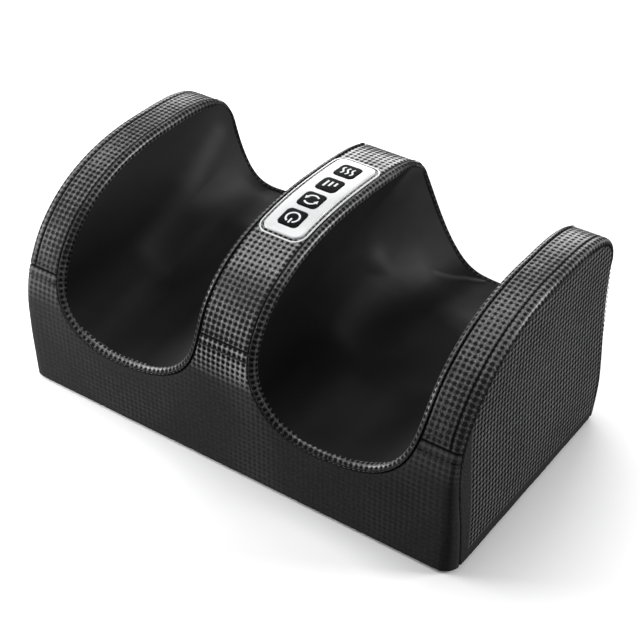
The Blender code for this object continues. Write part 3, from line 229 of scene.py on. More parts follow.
def skin(line, across, s, out=0):
    """A place on the cover and its normal, measured across the width, along the outline and outwards."""
    point, normal = line.at(s)
    radius = corner_radius(*point)
    hand = math.copysign(1, across)
    over = abs(across) - (HALF_WIDTH - radius)
    if over <= 0:
        return (swell(Vector((across, point.x + normal.x * out, point.y + normal.y * out))),
                Vector((0, normal.x, normal.y)))
    angle = min(over / radius, math.pi / 2)
    beyond = max(over - radius * math.pi / 2, 0)
    x = HALF_WIDTH - radius + (radius + out) * math.sin(angle)
    lift = (radius + out) * math.cos(angle) - radius - beyond
    place = Vector((hand * x, point.x + normal.x * lift, point.y + normal.y * lift))
    side, up = math.sin(angle), math.cos(angle)
    return swell(place), Vector((hand * side, normal.x * up, normal.y * up))


def well_section(y, hand, steps=40):
    """A well across its width, from the top of its wall on the bridge to the top of its wall on the wing."""
    share = clamp((y + HALF_DEPTH) / (2 * HALF_DEPTH))
    humps = sum(HUMP * math.exp(-((y - place) / HUMP_REACH) ** 2) for place in SHAFTS_Y)
    floor = WELL_FLOOR[0] + (WELL_FLOOR[1] - WELL_SKEW * hand - WELL_FLOOR[0]) * share + humps
    top = blend(share, 0, 1, *WELL_TOP)
    skew = hand * WELL_SKEW * (1 - share) - WELL_SKEW * share
    points = []
    for step in range(-steps, steps + 1):
        angle = step / steps * math.pi / 2
        across_power, drop_power = (blend(share, 0, 1, FRONT_POWER, power)
                                    for power in (WING_POWERS if step > 0 else BRIDGE_POWERS))
        across = math.copysign(abs(math.sin(angle)) ** (2 / across_power), angle)
        drop = max(math.cos(angle), 0) ** (2 / drop_power)
        z = top - (top - floor - skew * across) * drop
        lean = WELL_LEAN * ((BRIDGE_HEIGHT - z) / BRIDGE_HEIGHT) ** 2
        points.append((WELL_CENTRE + across * (WELL_HALF - lean), z))
    high = BRIDGE_HEIGHT + WALL_OVERRUN
    return [(points[0][0], high)] + points + [(points[-1][0], high)]


def wall(section, side):
    """The wall of a well's section on the wing or on the bridge, from the middle of the floor up."""
    half = len(section) // 2
    return section[half:] if side == "wing" else section[:half + 1][::-1]


def rim_half(hand, side, steps=90, below=0.001):
    """Half a well's rim, from the middle of the front over the wing or the bridge to the middle of the back,
    as places across and along the front outline."""
    line, back_line = FRONT_LINES[side], BACK_LINES[side]
    _, front_top, rear_top, _ = SIDES[side]
    front, back = (wall(well_section(y, hand), side) for y in (-HALF_DEPTH, HALF_DEPTH))
    points = [(x, z - FOOT) for x, z in front if z < front_top - below]
    start = line.first_at_height(front_top)
    end = line.total - back_line.first_at_height(rear_top)
    for step in range(steps + 1):
        s = start + (end - start) * step / steps
        (y, z), _ = line.at(s)
        part = wall(well_section(y, hand), side)
        points.append(((readings(part, z, 1) or part[0])[0], s))
    rear = [(x, line.total - back_line.first_at_height(z)) for x, z in back if z < rear_top - below]
    return resampled(points + rear[::-1], RIM_STEP)


def offset(points, distance, turn):
    """Move an open flat line sideways. Turn 1 moves it to its right, -1 to its left."""
    moved = []
    last = len(points) - 1
    for here, point in enumerate(points):
        middle = Vector(point)
        before = middle - Vector(points[here - 1]) if here else Vector(points[1]) - middle
        after = Vector(points[here + 1]) - middle if here < last else before
        first, second = before.normalized(), after.normalized()
        along = (first + second).normalized()
        normal = Vector((along.y, -along.x)) * turn
        spread = max(normal.dot(Vector((first.y, -first.x)) * turn), 0.5)
        moved.append(tuple(middle + normal * (distance / spread)))
    return moved


RIM_TURN = {"wing": 1, "bridge": -1}
RIMS = {(hand, side): rim_half(hand, side) for hand in (-1, 1) for side in RIM_TURN}


def cover_edge(hand, side):
    """Where a cover ends beside a well's binding."""
    return offset(RIMS[hand, side], STRIP + SEAM_GAP, RIM_TURN[side])


# Meshes in code, for the soft goods

def new_piece(name, verts, faces, uvs, finish):
    mesh = bpy.data.meshes.new(name)
    mesh.from_pydata([tuple(v) for v in verts], [], faces)
    layer = mesh.uv_layers.new(name="cut")
    for polygon, corners in zip(mesh.polygons, uvs):
        for loop, uv in zip(polygon.loop_indices, corners):
            layer.data[loop].uv = uv
    mesh.validate()
    for polygon in mesh.polygons:
        polygon.use_smooth = True
    piece = bpy.data.objects.new(name, mesh)
    bpy.context.scene.collection.objects.link(piece)
    mesh.materials.append(finish)
    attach(piece, "housing")
    return piece


def mark_points(piece, label, values):
    """Give a piece's points a number that its finish reads."""
    piece.data.attributes.new(label, "FLOAT", "POINT").data.foreach_set("value", values)


def shell(name, outer, inner, spacing, finish, flip):
    """A closed skin from rows of outer and inner places. The spacing of its flat cloth gives the UV map."""
    rows, columns = len(outer), len(outer[0])
    faces, uvs = [], []

    def add(corners):
        """A face from the row, column and layer of each corner."""
        corners = corners[::-1] if flip else corners
        faces.append([(layer * rows + i) * columns + j for i, j, layer in corners])
        uvs.append([(spacing[0] * j, spacing[1] * i) for i, j, _ in corners])

    for i in range(rows - 1):
        for j in range(columns - 1):
            for layer, order in ((0, 1), (1, -1)):
                add([(i, j, layer), (i, j + 1, layer), (i + 1, j + 1, layer), (i + 1, j, layer)][::order])
        for j, order in ((0, 1), (columns - 1, -1)):
            add([(i, j, 0), (i + 1, j, 0), (i + 1, j, 1), (i, j, 1)][::order])
    for i, order in ((0, -1), (rows - 1, 1)):
        for j in range(columns - 1):
            add([(i, j, 0), (i, j + 1, 0), (i, j + 1, 1), (i, j, 1)][::order])
    return new_piece(name, [p for row in outer + inner for p in row], faces, uvs, finish)


def dip(distance, depth=0.0008, width=0.0006):
    """Depth of a sewn line at a distance from it."""
    return -depth * math.exp(-(distance / width) ** 2)


def puff(distance, reach=0.0045):
    """Rise of the thin foam away from a seam."""
    return CROWN * (1 - math.exp(-distance / reach))


def slack(place, size=0.00022, scale=34):
    """Small unevenness of sewn sheet over foam."""
    return size * noise.noise(place * scale)


# Finishes

def grey(value, blue=0.0):
    return (value, value, value + blue)


class Nodes:
    """Short ways to add and join the nodes of one tree. A source is a socket, a number or a colour."""

    def __init__(self, tree):
        self.tree = tree

    def join(self, source, socket):
        if isinstance(source, bpy.types.NodeSocket):
            self.tree.links.new(source, socket)
        else:
            socket.default_value = (*source, 1) if isinstance(source, tuple) else source

    def add(self, kind, *sources, **values):
        """A node with its inputs joined in order."""
        node = self.tree.nodes.new(kind)
        for key, value in values.items():
            setattr(node, key, value)
        for slot, source in enumerate(sources):
            self.join(source, node.inputs[slot])
        return node

    def fed(self, node, **sources):
        """A node's outputs, with its inputs joined by name."""
        for label, source in sources.items():
            self.join(source, node.inputs[label])
        return node.outputs

    def math(self, operation, *sources):
        return self.add("ShaderNodeMath", *sources, operation=operation).outputs[0]

    def remap(self, value, low, high, start, end, kind="LINEAR"):
        node = self.add("ShaderNodeMapRange", value, low, high, start, end, interpolation_type=kind)
        return node.outputs[0]

    def mix(self, factor, start, end):
        node = self.add("ShaderNodeMix", data_type="RGBA")
        for slot, source in ((0, factor), (6, start), (7, end)):
            self.join(source, node.inputs[slot])
        return node.outputs[2]

    def noise(self, where, scale, detail=2.0, rough=0.5):
        return self.fed(self.add("ShaderNodeTexNoise"), Vector=where, Scale=scale, Detail=detail,
                        Roughness=rough)[0]

    def group(self, tree, **sources):
        return self.fed(self.add("ShaderNodeGroup", node_tree=tree), **sources)

    def into(self, label, source):
        """Feed an input of the material's own shader."""
        self.join(source, self.tree.nodes["Principled BSDF"].inputs[label])

    def bump(self, height, distance):
        self.into("Normal", self.fed(self.add("ShaderNodeBump"), Height=height, Distance=distance)[0])


def effect(name, vectors, values, results):
    """An empty node group with named vector and number inputs and number outputs."""
    tree = bpy.data.node_groups.new(name, "ShaderNodeTree")
    for labels, way, kind in ((vectors, "INPUT", "Vector"), (values, "INPUT", "Float"),
                              (results, "OUTPUT", "Float")):
        for label in labels:
            tree.interface.new_socket(name=label, in_out=way, socket_type="NodeSocket" + kind)
    return Nodes(tree), tree.nodes.new("NodeGroupInput").outputs, tree.nodes.new("NodeGroupOutput").inputs


def pip_effect():
    """Embossed basket weave: a square grid of pips with pits between them, over fine leather grain."""
    n, given, out = effect("embossed_pips", ("Flat", "Where"), ("Share", "Fill", "Plain"),
                           ("Height", "Shade"))
    parts = n.add("ShaderNodeSeparateXYZ", given["Flat"]).outputs
    wobble = n.math("MULTIPLY", n.noise(given["Where"], 260, 1.0), 0.9)
    waves = [n.math("COSINE", n.math("MULTIPLY_ADD", parts[axis], math.tau / PITCH, wobble))
             for axis in (0, 1)]
    both = n.math("MULTIPLY", n.math("ADD", *waves), 0.5)
    squarer = n.math("MULTIPLY_ADD", n.math("MULTIPLY", *waves), -0.22, both)
    pips = n.remap(n.math("ADD", squarer, given["Fill"]), -0.8, 0.7, 0, 1, "SMOOTHSTEP")
    shown = n.math("MULTIPLY", n.math("SUBTRACT", pips, 0.5), given["Share"])
    grain = n.noise(given["Where"], 2600, 3.0, 0.6)
    n.join(n.math("MULTIPLY_ADD", grain, 0.16, shown), out["Height"])
    # Shade is the tone from pit to top: painted shade in the pits and painted highlight on the tops.
    middle = n.math("MULTIPLY_ADD", given["Share"], n.math("SUBTRACT", 0.5, given["Plain"]), given["Plain"])
    n.join(n.math("ADD", shown, middle), out["Shade"])
    return n.tree


def wear_effect():
    """Slow change of tone and fine grain, for moulded, turned and drawn parts."""
    n, given, out = effect("even_wear", ("Where",), ("Grain",), ("Tone", "Height"))
    n.join(n.noise(given["Where"], 45, 4.0, 0.6), out["Tone"])
    n.join(n.noise(given["Where"], given["Grain"]), out["Height"])
    return n.tree


PIPS = pip_effect()
WEAR = wear_effect()


def base_material(name, **constants):
    """A material with its shader's constants set, its nodes and its Object coordinates."""
    material = bpy.data.materials.new(name)
    material.use_nodes = True
    n = Nodes(material.node_tree)
    for key, value in constants.items():
        n.into(key.replace("_", " "), value)
    return material, n, n.add("ShaderNodeTexCoord").outputs["Object"]


def leather(name, dark, light, share, coat, sparkle, fill=(-0.4, 0.15), plain=0.09, distance=0.0012):
    """Embossed sheet. The tops of the pips are glossy, and lighter with painted highlight and glints; the
    pits and the seams are dull, and dark with painted shade.
    """
    material, n, where = base_material(name, Specular_IOR_Level=0.04, Coat_Roughness=0.28, Coat_IOR=1.5)
    flat = n.add("ShaderNodeUVMap", uv_map="cut").outputs[0]
    pressed, sewn = (n.add("ShaderNodeAttribute", attribute_name=label).outputs["Fac"]
                     for label in ("pressed_flat", "sewn"))
    # Near black where the sewn mark is high: painted shade along the seams and on the binding.
    clear = n.math("SUBTRACT", 1.0, n.math("MULTIPLY", sewn, 0.9))
    patches = n.remap(n.noise(where, 14), 0.3, 0.65, *share)
    # Where the mark read above is high, the emboss flattens and the tone falls to the plain tone: this also
    # paints the shadow on the bridge and the shade on the right wing's front.
    shown = n.math("MULTIPLY", patches, n.math("SUBTRACT", 1.0, pressed))
    weave = n.group(PIPS, Flat=flat, Where=where, Share=n.math("MULTIPLY", shown, clear), Plain=plain,
                    Fill=n.remap(n.noise(where, 22), 0.35, 0.62, *fill))
    # Painted glints: random specks lighten the tops of some pips, up to 2.8 times.
    painted_glint = n.remap(n.noise(where, 900, 2.0, 0.6), 0.43, 0.66, 0, sparkle)
    bright = n.mix(painted_glint, tuple(v * 0.8 for v in light), tuple(v * 2.8 for v in light))
    # Painted shade in the pits and at the seams, painted highlight on the tops of the pips.
    n.into("Base Color", n.mix(clear, grey(0.001), n.mix(weave["Shade"], dark, bright)))
    n.into("Roughness", n.remap(weave["Shade"], 0, 1, 0.75, 0.5))
    n.into("Coat Weight", n.math("MULTIPLY", n.remap(weave["Shade"], 0.1, 1, 0, coat), clear))
    n.bump(weave["Height"], distance)
    return material


def moulded(name, low, high, rough=(0.35, 0.5), grain=900, distance=0.00004, **constants):
    material, n, where = base_material(name, **constants)
    wear = n.group(WEAR, Where=where, Grain=grain)
    n.into("Base Color", n.mix(n.remap(wear["Tone"], 0.3, 0.7, 0, 1), low, high))
    n.into("Roughness", n.remap(wear["Tone"], 0.3, 0.7, *rough))
    n.bump(wear["Height"], distance)
    return material


def stretch_cloth(name, rib=0.0009, stitch=0.0011):
    """Fine knit, lighter where the liner marks painted sheen: on the walls, along soft folds and on a crease.
    """
    material, n, where = base_material(name, Specular_IOR_Level=0.06)
    parts = n.add("ShaderNodeSeparateXYZ", n.add("ShaderNodeUVMap", uv_map="cut").outputs[0]).outputs
    knit = n.math("MULTIPLY", *(n.math("SINE", n.math("MULTIPLY", parts[axis], math.tau / size))
                                for axis, size in ((0, rib), (1, stitch))))
    fuzz = n.noise(where, 1800, 3.0, 0.7)
    slow = n.remap(n.noise(where, 9), 0.3, 0.7, -0.1, 0.1)
    stretched = n.add("ShaderNodeAttribute", attribute_name="stretched").outputs["Fac"]
    # Painted sheen: the mark read above lightens the black cloth.
    n.into("Base Color", n.mix(n.math("ADD", stretched, slow), grey(0.0046, 0.0002), grey(0.0480, 0.0005)))
    n.into("Roughness", n.remap(fuzz, 0.3, 0.7, 0.40, 0.52))
    n.bump(n.math("MULTIPLY_ADD", knit, 0.25, fuzz), 0.00006)
    return material


# Five copies of one black leather. Their emboss differs, and their different tones are painted light and
# shade, giving each part the brightness that light gives it.
LEATHER = leather("embossed_leather", grey(0.009), grey(0.128, 0.001), (0.7, 1.05), 1.0, 1.0)
WING_LEATHER = leather("wing_leather", grey(0.008), grey(0.098, 0.001), (0.6, 1.0), 0.5, 1.2)
SIDE_LEATHER = leather("side_leather", grey(0.004), grey(0.132, 0.002), (0.9, 1.05), 0.3, 0.5,
                       fill=(-0.3, -0.2), plain=0.18)
FRONT_LEATHER = leather("front_leather", grey(0.003), grey(0.39, 0.001), (0.9, 1.0), 1.0, 0.2,
                        distance=0.0011)
TRIM_LEATHER = leather("binding_leather", grey(0.008), grey(0.085, 0.001), (0.6, 1.0), 0.8, 1.0)
CLOTH = stretch_cloth("stretch_cloth")
THREAD = moulded("polyester_thread", grey(0.020, 0.001), grey(0.045, 0.002), (0.4, 0.6), 3000, 0.00003)
CIRCUIT_BOARD = moulded("glass_fibre_board", (0.010, 0.060, 0.022), (0.018, 0.085, 0.032), (0.35, 0.5), 1400)
BLACK_PLASTIC = moulded("black_plastic", grey(0.010, 0.001), grey(0.018, 0.001), (0.4, 0.55), 1600, 0.00005)
GREY_PLASTIC = moulded("grey_plastic", grey(0.12, 0.005), grey(0.17, 0.005), (0.42, 0.56), 1300, 0.00005)
WHITE_PLASTIC = moulded("white_panel", (0.60, 0.604, 0.61), (0.65, 0.654, 0.66), (0.24, 0.32), 1800, 0.00001,
                        Coat_Weight=0.3, Coat_Roughness=0.12)
KEY_PLASTIC = moulded("key_caps", grey(0.003), grey(0.006), (0.55, 0.7), 1800, 0.00002,
                      Specular_IOR_Level=0.03)
MARK_INK = moulded("white_marks", (0.60, 0.61, 0.63), (0.70, 0.71, 0.73), (0.4, 0.5), 1500, 0.00001)
RUBBER = moulded("black_rubber", grey(0.012), grey(0.024), (0.65, 0.8), 800, 0.00008)
SOFT_ROLLER = moulded("roller_rubber", (0.05, 0.045, 0.042), (0.075, 0.068, 0.062), (0.5, 0.66), 700, 0.00008)
STEEL = moulded("drawn_steel", grey(0.45, 0.01), grey(0.56, 0.01), (0.22, 0.36), 2200, 0.00002, Metallic=1.0)
BRONZE = moulded("bronze", (0.46, 0.30, 0.13), (0.56, 0.38, 0.18), (0.26, 0.4), 1800, 0.00002, Metallic=1.0)
GEAR_NYLON = moulded("gear_nylon", (0.60, 0.58, 0.50), (0.68, 0.66, 0.58), (0.4, 0.52), 1200, 0.00003)
HEAT_FILM = moulded("heating_film", (0.35, 0.15, 0.03), (0.45, 0.21, 0.05), (0.3, 0.42), 900, 0.00003)


# Covers: a flat pattern filled with small triangles, laid on the housing

EDGE_ROWS = (0.0005, 0.0011, 0.0019, 0.0031)
CHANNEL_ROWS = (0, 0.0005, 0.0011, 0.0019)
EDGE_STEP = 0.0014
CHANNEL_STEP = 0.0016
GRID_STEP = 0.0024
GRID_CLEAR = 0.45
EDGE_CLEAR = 0.0006
ROW_CLEAR = 0.9
BOTTOM_STEPS = 200
# Depth and width of a channel's line of stitching
CHANNEL_DIP = (0.0006, 0.0005)
# Width of a seam's dark line of painted shade
DARK_WIDTH = 0.0008
SHARP_ANGLE = 50


def segments_of(lines):
    return np.array([(a, b) for line in lines for a, b in zip(line, line[1:])], float)


def distances(points, segments, batch=500):
    """Least distance from each point to a set of segments, which may be empty."""
    best = np.full(len(points), np.inf)
    if not len(segments):
        return best
    starts = segments[:, 0]
    along = segments[:, 1] - starts
    size = np.maximum((along ** 2).sum(1), 1e-18)
    for first in range(0, len(points), batch):
        part = points[first:first + batch, None, :] - starts[None]
        share = np.clip((part * along).sum(2) / size, 0, 1)
        gap = part - share[..., None] * along
        best[first:first + batch] = np.sqrt((gap ** 2).sum(2)).min(1)
    return best


def inside(points, loop):
    hit = np.zeros(len(points), bool)
    for (ax, ay), (bx, by) in zip(loop, loop[1:] + loop[:1]):
        if ay != by:
            crossing = (ay > points[:, 1]) != (by > points[:, 1])
            x = ax + (points[:, 1] - ay) / (by - ay) * (bx - ax)
            hit ^= crossing & (points[:, 0] < x)
    return hit


def cover(name, node, sides, place, finish, lines=(), hole=None, plain=None, free=(), quiet=None):
    """One sewn piece that stands for a CAD node. The sides run round its flat pattern, lines are sewn
    channels across it and free numbers the sides that aren't sewn, with a hole as the last one. Plain gives
    the share of the emboss that is pressed flat at a place, which also darkens its tone, and quiet the share
    of a seam's dark line of painted shade that shows."""
    sides = [resampled(side, EDGE_STEP) for side in sides]
    loop = [point for side in sides for point in side[:-1]]
    rings = [loop, hole] if hole else [loop]
    if hole:
        sides.append(hole + hole[:1])
    edge = segments_of(sides)
    sewn = segments_of([side for number, side in enumerate(sides) if number not in free])
    lines = [resampled(line, CHANNEL_STEP) for line in lines]
    channels = segments_of(lines)

    def on_pattern(points):
        keep = inside(points, loop)
        for ring in rings[1:]:
            keep &= ~inside(points, ring)
        return keep

    seeds = []
    for side in sides:
        for row in EDGE_ROWS:
            for turn in (-1, 1):
                moved = np.array(offset(side, row, turn))
                seeds.append(moved[inside(moved, loop) & (distances(moved, edge) > row * ROW_CLEAR)])
    for line in lines:
        for row in CHANNEL_ROWS:
            for turn in (-1, 1) if row else (-1,):
                moved = np.array(offset(line, row, turn))
                keep = inside(moved, loop) & (distances(moved, edge) > EDGE_CLEAR)
                seeds.append(moved[keep & (distances(moved, channels) >= row * ROW_CLEAR)])
    low, high = np.min(loop, axis=0), np.max(loop, axis=0)
    columns, rows = (np.arange(low[axis], high[axis], GRID_STEP) for axis in (0, 1))
    grid = np.array([(u, v + (number % 2) * GRID_STEP / 2) for number, u in enumerate(columns) for v in rows])
    grid = grid[on_pattern(grid)]
    grid = grid[distances(grid, edge) > EDGE_ROWS[-1] + GRID_STEP * GRID_CLEAR]
    grid = grid[distances(grid, channels) > CHANNEL_ROWS[-1] + GRID_STEP * GRID_CLEAR]

    points, edges = [], []
    for ring in rings:
        first, count = len(points), len(ring)
        edges += [(first + i, first + (i + 1) % count) for i in range(count)]
        points += ring
    points += [tuple(p) for part in seeds + [grid] for p in part]
    # The filling works in millimetres
    flat, _, faces, *_ = delaunay_2d_cdt([Vector(p) * 1000 for p in points], edges, [], 1, 0.001, False)
    flat = np.array([tuple(p) for p in flat]) / 1000
    middles = np.array([flat[list(face)].mean(axis=0) for face in faces])
    faces = [list(face) for face, kept in zip(faces, on_pattern(middles)) if kept]
    used = sorted({index for face in faces for index in face})
    order = {index: number for number, index in enumerate(used)}
    faces = [[order[index] for index in face] for face in faces]
    flat = flat[used]

    gaps, channel_gaps = distances(flat, sewn), distances(flat, channels)
    outer, inner = [], []
    for (u, v), gap, channel_gap in zip(flat, gaps, channel_gaps):
        out = dip(gap) + puff(gap) + dip(channel_gap, *CHANNEL_DIP)
        middle, normal = place(u, v, 0)
        top, _ = place(u, v, out + slack(middle))
        outer.append(top)
        inner.append(top - normal * SKIN)
    a, b, c = faces[0]
    if (outer[b] - outer[a]).cross(outer[c] - outer[a]).dot(place(*flat[a], 0)[1]) < 0:
        faces = [face[::-1] for face in faces]
    total = len(outer)
    shape = faces + [[total + index for index in face[::-1]] for face in faces]
    ways = dict.fromkeys(way for face in faces for way in zip(face, face[1:] + face[:1]))
    shape += [[end, start, total + start, total + end] for start, end in ways if (end, start) not in ways]
    spots = [tuple(p) for p in flat] * 2
    uvs = [[spots[index] for index in face] for face in shape]
    piece = new_piece(name, outer + inner, shape, uvs, finish)
    piece.data.set_sharp_from_angle(angle=math.radians(SHARP_ANGLE))
    # Painted shade: a dark line in the colour along every sewn side and channel.
    dark = np.exp(-(np.tile(np.minimum(gaps, channel_gaps), 2) / DARK_WIDTH) ** 2)
    if quiet:
        dark *= [quiet(u, v) for u, v in spots]
    mark_points(piece, "sewn", dark)
    if plain:
        mark_points(piece, "pressed_flat", [plain(u, v) for u, v in spots])
    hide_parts(node)


def between(points, s_low, s_high):
    """The part of a rim line between two lengths along the outline."""
    part = []
    for (x_low, low), (x_high, high) in zip(points, points[1:]):
        if high <= low:
            continue
        for want in (s_low, s_high):
            if low <= want < high:
                share = (want - low) / (high - low)
                part.append((x_low + (x_high - x_low) * share, want))
        if s_low < high < s_high:
            part.append((x_high, high))
    return sorted(set(part), key=lambda point: point[1])


def side_line(line, s_low, s_high, hand, step=0.003):
    count = max(round((s_high - s_low) / step), 2)
    lengths = [s_low + (s_high - s_low) * number / count for number in range(count + 1)]
    return [(hand * (side_end(line, s) - SEAM_GAP), s) for s in lengths]


def lower_pattern(lines, from_back):
    """Sides of the front or back cover, from the bottom round to the right and back over the top."""
    seams = {side: line.first_at_height(REAR_SEAM if from_back else FRONT_SEAMS[side]) - SEAM_GAP
             for side, line in lines.items()}
    rims = []
    for hand in (1, -1):
        for side, line in lines.items():
            rim = cover_edge(hand, side)
            if from_back:
                rim = [(x, line.total - s) for x, s in rim][::-1]
            rims.append(trimmed([(hand * x, s) for x, s in rim], seams[side]))
    right_wing, right_bridge, left_wing, left_bridge = rims
    right, left = (side_line(lines["wing"], 0, seams["wing"], hand) for hand in (1, -1))
    width = right[0][0]
    bottom = [(-width + width * 2 * k / BOTTOM_STEPS, 0) for k in range(BOTTOM_STEPS + 1)]
    return [bottom, right, [right[-1], right_wing[-1]], right_wing[::-1], right_bridge,
            [right_bridge[-1], left_bridge[-1]], left_bridge[::-1], left_wing, [left_wing[-1], left[-1]],
            left[::-1]]


def laid_on(lines):
    """The way to lay a flat place on the front and top, or on the back."""
    return lambda u, v, out: skin(lines["wing" if abs(u) > WELL_CENTRE else "bridge"], u, v, out)


def laid_beside(hand):
    """The way to lay a flat place on the left or right side."""
    return lambda u, v, out: (swell(Vector((hand * (HALF_WIDTH + out), u, v))), Vector((hand, 0, 0)))


TOPSTITCH = 0.0072
BRIDGE_CHANNEL = 0.0205
# Where the emboss, its tone or a seam's painted shade changes: a place along the pattern, and the length of
# the change
BRIDGE_FRONT_TOP, WING_FRONT_TOP, FADE = 0.093, 0.086, 0.016
BRIDGE_SHADOW = (0.150, 0.016)
WING_LOW_FLAT = (0.056, 0.045)
SIDE_PRESSED = (0.0075, 0.004)
SEAM_FAINT = (0.085, 0.015)
CORNER_START = 0.17
front_sides = lower_pattern(FRONT_LINES, False)
wing_stitch, bridge_stitch = (SEAM_START[side] - TOPSTITCH for side in ("wing", "bridge"))
ends_x = front_sides[3][0][0], side_end(FRONT_LINES["wing"], wing_stitch)
front_channels = [[(hand * x, wing_stitch) for x in ends_x] for hand in (-1, 1)]
front_channels.append([(-BRIDGE_CHANNEL, bridge_stitch), (BRIDGE_CHANNEL, bridge_stitch)])


def front_plain(u, v):
    """The emboss of the front fades out below the cross seams."""
    upper, most = BRIDGE_FRONT_TOP, 1
    # On the wings' fronts the right keeps less emboss than the left, which makes it darker too: painted
    # shade.
    if abs(u) >= WELL_CENTRE:
        upper, most = WING_FRONT_TOP, 0.12 if u > 0 else 0.22
    faint = 0.02 + 0.12 * max(noise.noise(Vector((u * 16, v * 16, 0))), 0)
    return 1 - max(most * clamp((v - (upper - FADE)) / FADE), faint)


def bridge_painted_shadow(u, v):
    """Painted shadow half way up the bridge: the tone is darker and the emboss flatter there."""
    middle, width = BRIDGE_SHADOW
    return 0.5 * math.exp(-((v - middle) / width) ** 2)


def wing_plain(u, v):
    """The emboss is flatter and the tone darker at the low end of a wing."""
    top, width = WING_LOW_FLAT
    return 0.6 * clamp((SEAM_START["wing"] + top - v) / width)


def side_plain(u, v):
    """The emboss is pressed flat beside the front and lower edges of a side piece."""
    near = min(u + HALF_DEPTH - FRONT_CORNER, v - FOOT)
    start, width = SIDE_PRESSED
    return 1 - clamp((near - start) / width)


def side_quiet(u, v):
    """The side seam's painted shade is fainter low down."""
    start, width = SEAM_FAINT
    return 0.3 + 0.7 * clamp((v - start) / width)


def corner_quiet(u, v):
    """On the front cover, only its outer ends belong to the side seam."""
    return 1 if abs(u) < CORNER_START else side_quiet(u, v)


cover("front_cover", "front_panel", front_sides, laid_on(FRONT_LINES), FRONT_LEATHER, lines=front_channels,
      plain=front_plain, free=(0,), quiet=corner_quiet)

INLET_RADIUS = 0.0062
INLET_HEIGHT = 0.050
INLET_STEPS = 32
inlet_s = BACK_LINES["bridge"].first_at_height(INLET_HEIGHT)
inlet_turns = [math.tau * k / INLET_STEPS for k in range(INLET_STEPS)]
cover("back_cover", "back_panel", lower_pattern(BACK_LINES, True), laid_on(BACK_LINES), SIDE_LEATHER,
      hole=[(INLET_RADIUS * math.cos(turn), inlet_s + INLET_RADIUS * math.sin(turn)) for turn in inlet_turns],
      free=(0, 10))


def upper_edge(hand, side):
    """A cover's edge along a binding, between the front and rear seams."""
    ends = SEAM_START[side] + SEAM_GAP, SEAM_END[side] - SEAM_GAP
    return [(hand * x, s) for x, s in between(cover_edge(hand, side), *ends)]


for hand, label in HANDS:
    low, high = SEAM_START["wing"] + SEAM_GAP, SEAM_END["wing"] - SEAM_GAP
    rim = upper_edge(hand, "wing")
    outer = side_line(FRONT_LINES["wing"], low, high, hand)
    cover(f"{label}_wing_cover", f"{label}_wing_band",
          [rim, [rim[-1], outer[-1]], outer[::-1], [outer[0], rim[0]]], laid_on(FRONT_LINES), WING_LEATHER,
          lines=[[(hand * OUTER_SEAM_X, low), (hand * OUTER_SEAM_X, high)]], plain=wing_plain)

left, right = upper_edge(-1, "bridge"), upper_edge(1, "bridge")
cover("bridge_cover", "bridge_band", [right, [right[-1], left[-1]], left[::-1], [left[0], right[0]]],
      laid_on(FRONT_LINES), LEATHER, plain=bridge_painted_shadow)

side_seam = []
for point, normal in zip(FRONT_LINES["wing"].line, FRONT_LINES["wing"].normals):
    middle = Vector(point) - normal * (corner_radius(*point) + SEAM_GAP)
    side_seam.append((middle.x, max(middle.y, FOOT)))

for hand, label in HANDS:
    cover(f"{label}_side_cover", f"{label}_side_panel", [side_seam, [side_seam[-1], side_seam[0]]],
          laid_beside(hand), SIDE_LEATHER, plain=side_plain, free=(1,), quiet=side_quiet)


# Bindings: a folded strip sewn round each well, rolled over the liner's edge

# Its section: how far off the well, and how far out of the cover. It sinks into the liner at the back, and
# has painted shade where it faces away from the light.
BINDING = ((-0.0005, -0.0052), (-0.0006, -0.0042), (-0.0005, -0.0032), (0.0000, -0.0020), (0.0008, -0.0010),
           (0.0018, -0.0003), (0.0028, 0.0001), (0.0036, 0.0001), (0.0042, -0.0002), (0.0046, -0.0008),
           (0.0046, -0.0019), (0.0034, -0.0013), (0.0020, -0.0016), (0.0010, -0.0024), (-0.0001, -0.0029),
           (-0.0001, -0.0052))
REAR_ZONE = (0.070, 0.095)
FRONT_ZONE = (-0.101, -0.085)
STRIP_SPACING = 0.0013
STRIP_SINK = 0.0011
REAR_DARK, FRONT_DARK = 0.6, 0.5
# Parts of the section: what the rear painted shade reaches, where the front painted shade starts, and what
# sinks and how fast
REAR_SHADE_END, FRONT_SHADE_START = 0.0030, 0.0022
SUNK_FROM, SUNK_FADE = 0.003, 0.002
HEM_WIDTH = 0.0006
BINDING_SLACK = (0.0002, 60)


def rim_frames(hand, step=0.001):
    """Round one well's rim: the outline, where across and along, and the way off the well, flat and solid."""
    frames = []
    for side, turn in RIM_TURN.items():
        line, points, part = FRONT_LINES[side], RIMS[hand, side], []
        for (x, s), (x_off, s_off) in zip(points, offset(points, step, turn)):
            middle, normal = skin(line, hand * x, s)
            outward = Vector((hand * (x_off - x), s_off - s)) / step
            ahead, _ = skin(line, hand * x_off, s_off)
            part.append((line, Vector((hand * x, s)), outward, middle, (ahead - middle).normalized(), normal))
        frames += part[::turn][:-1]
    return frames


def off_rim(line, spot, outward, distance, out):
    """A place on the cover beside a rim, and its normal."""
    return skin(line, spot.x + outward.x * distance, spot.y + outward.y * distance, out)


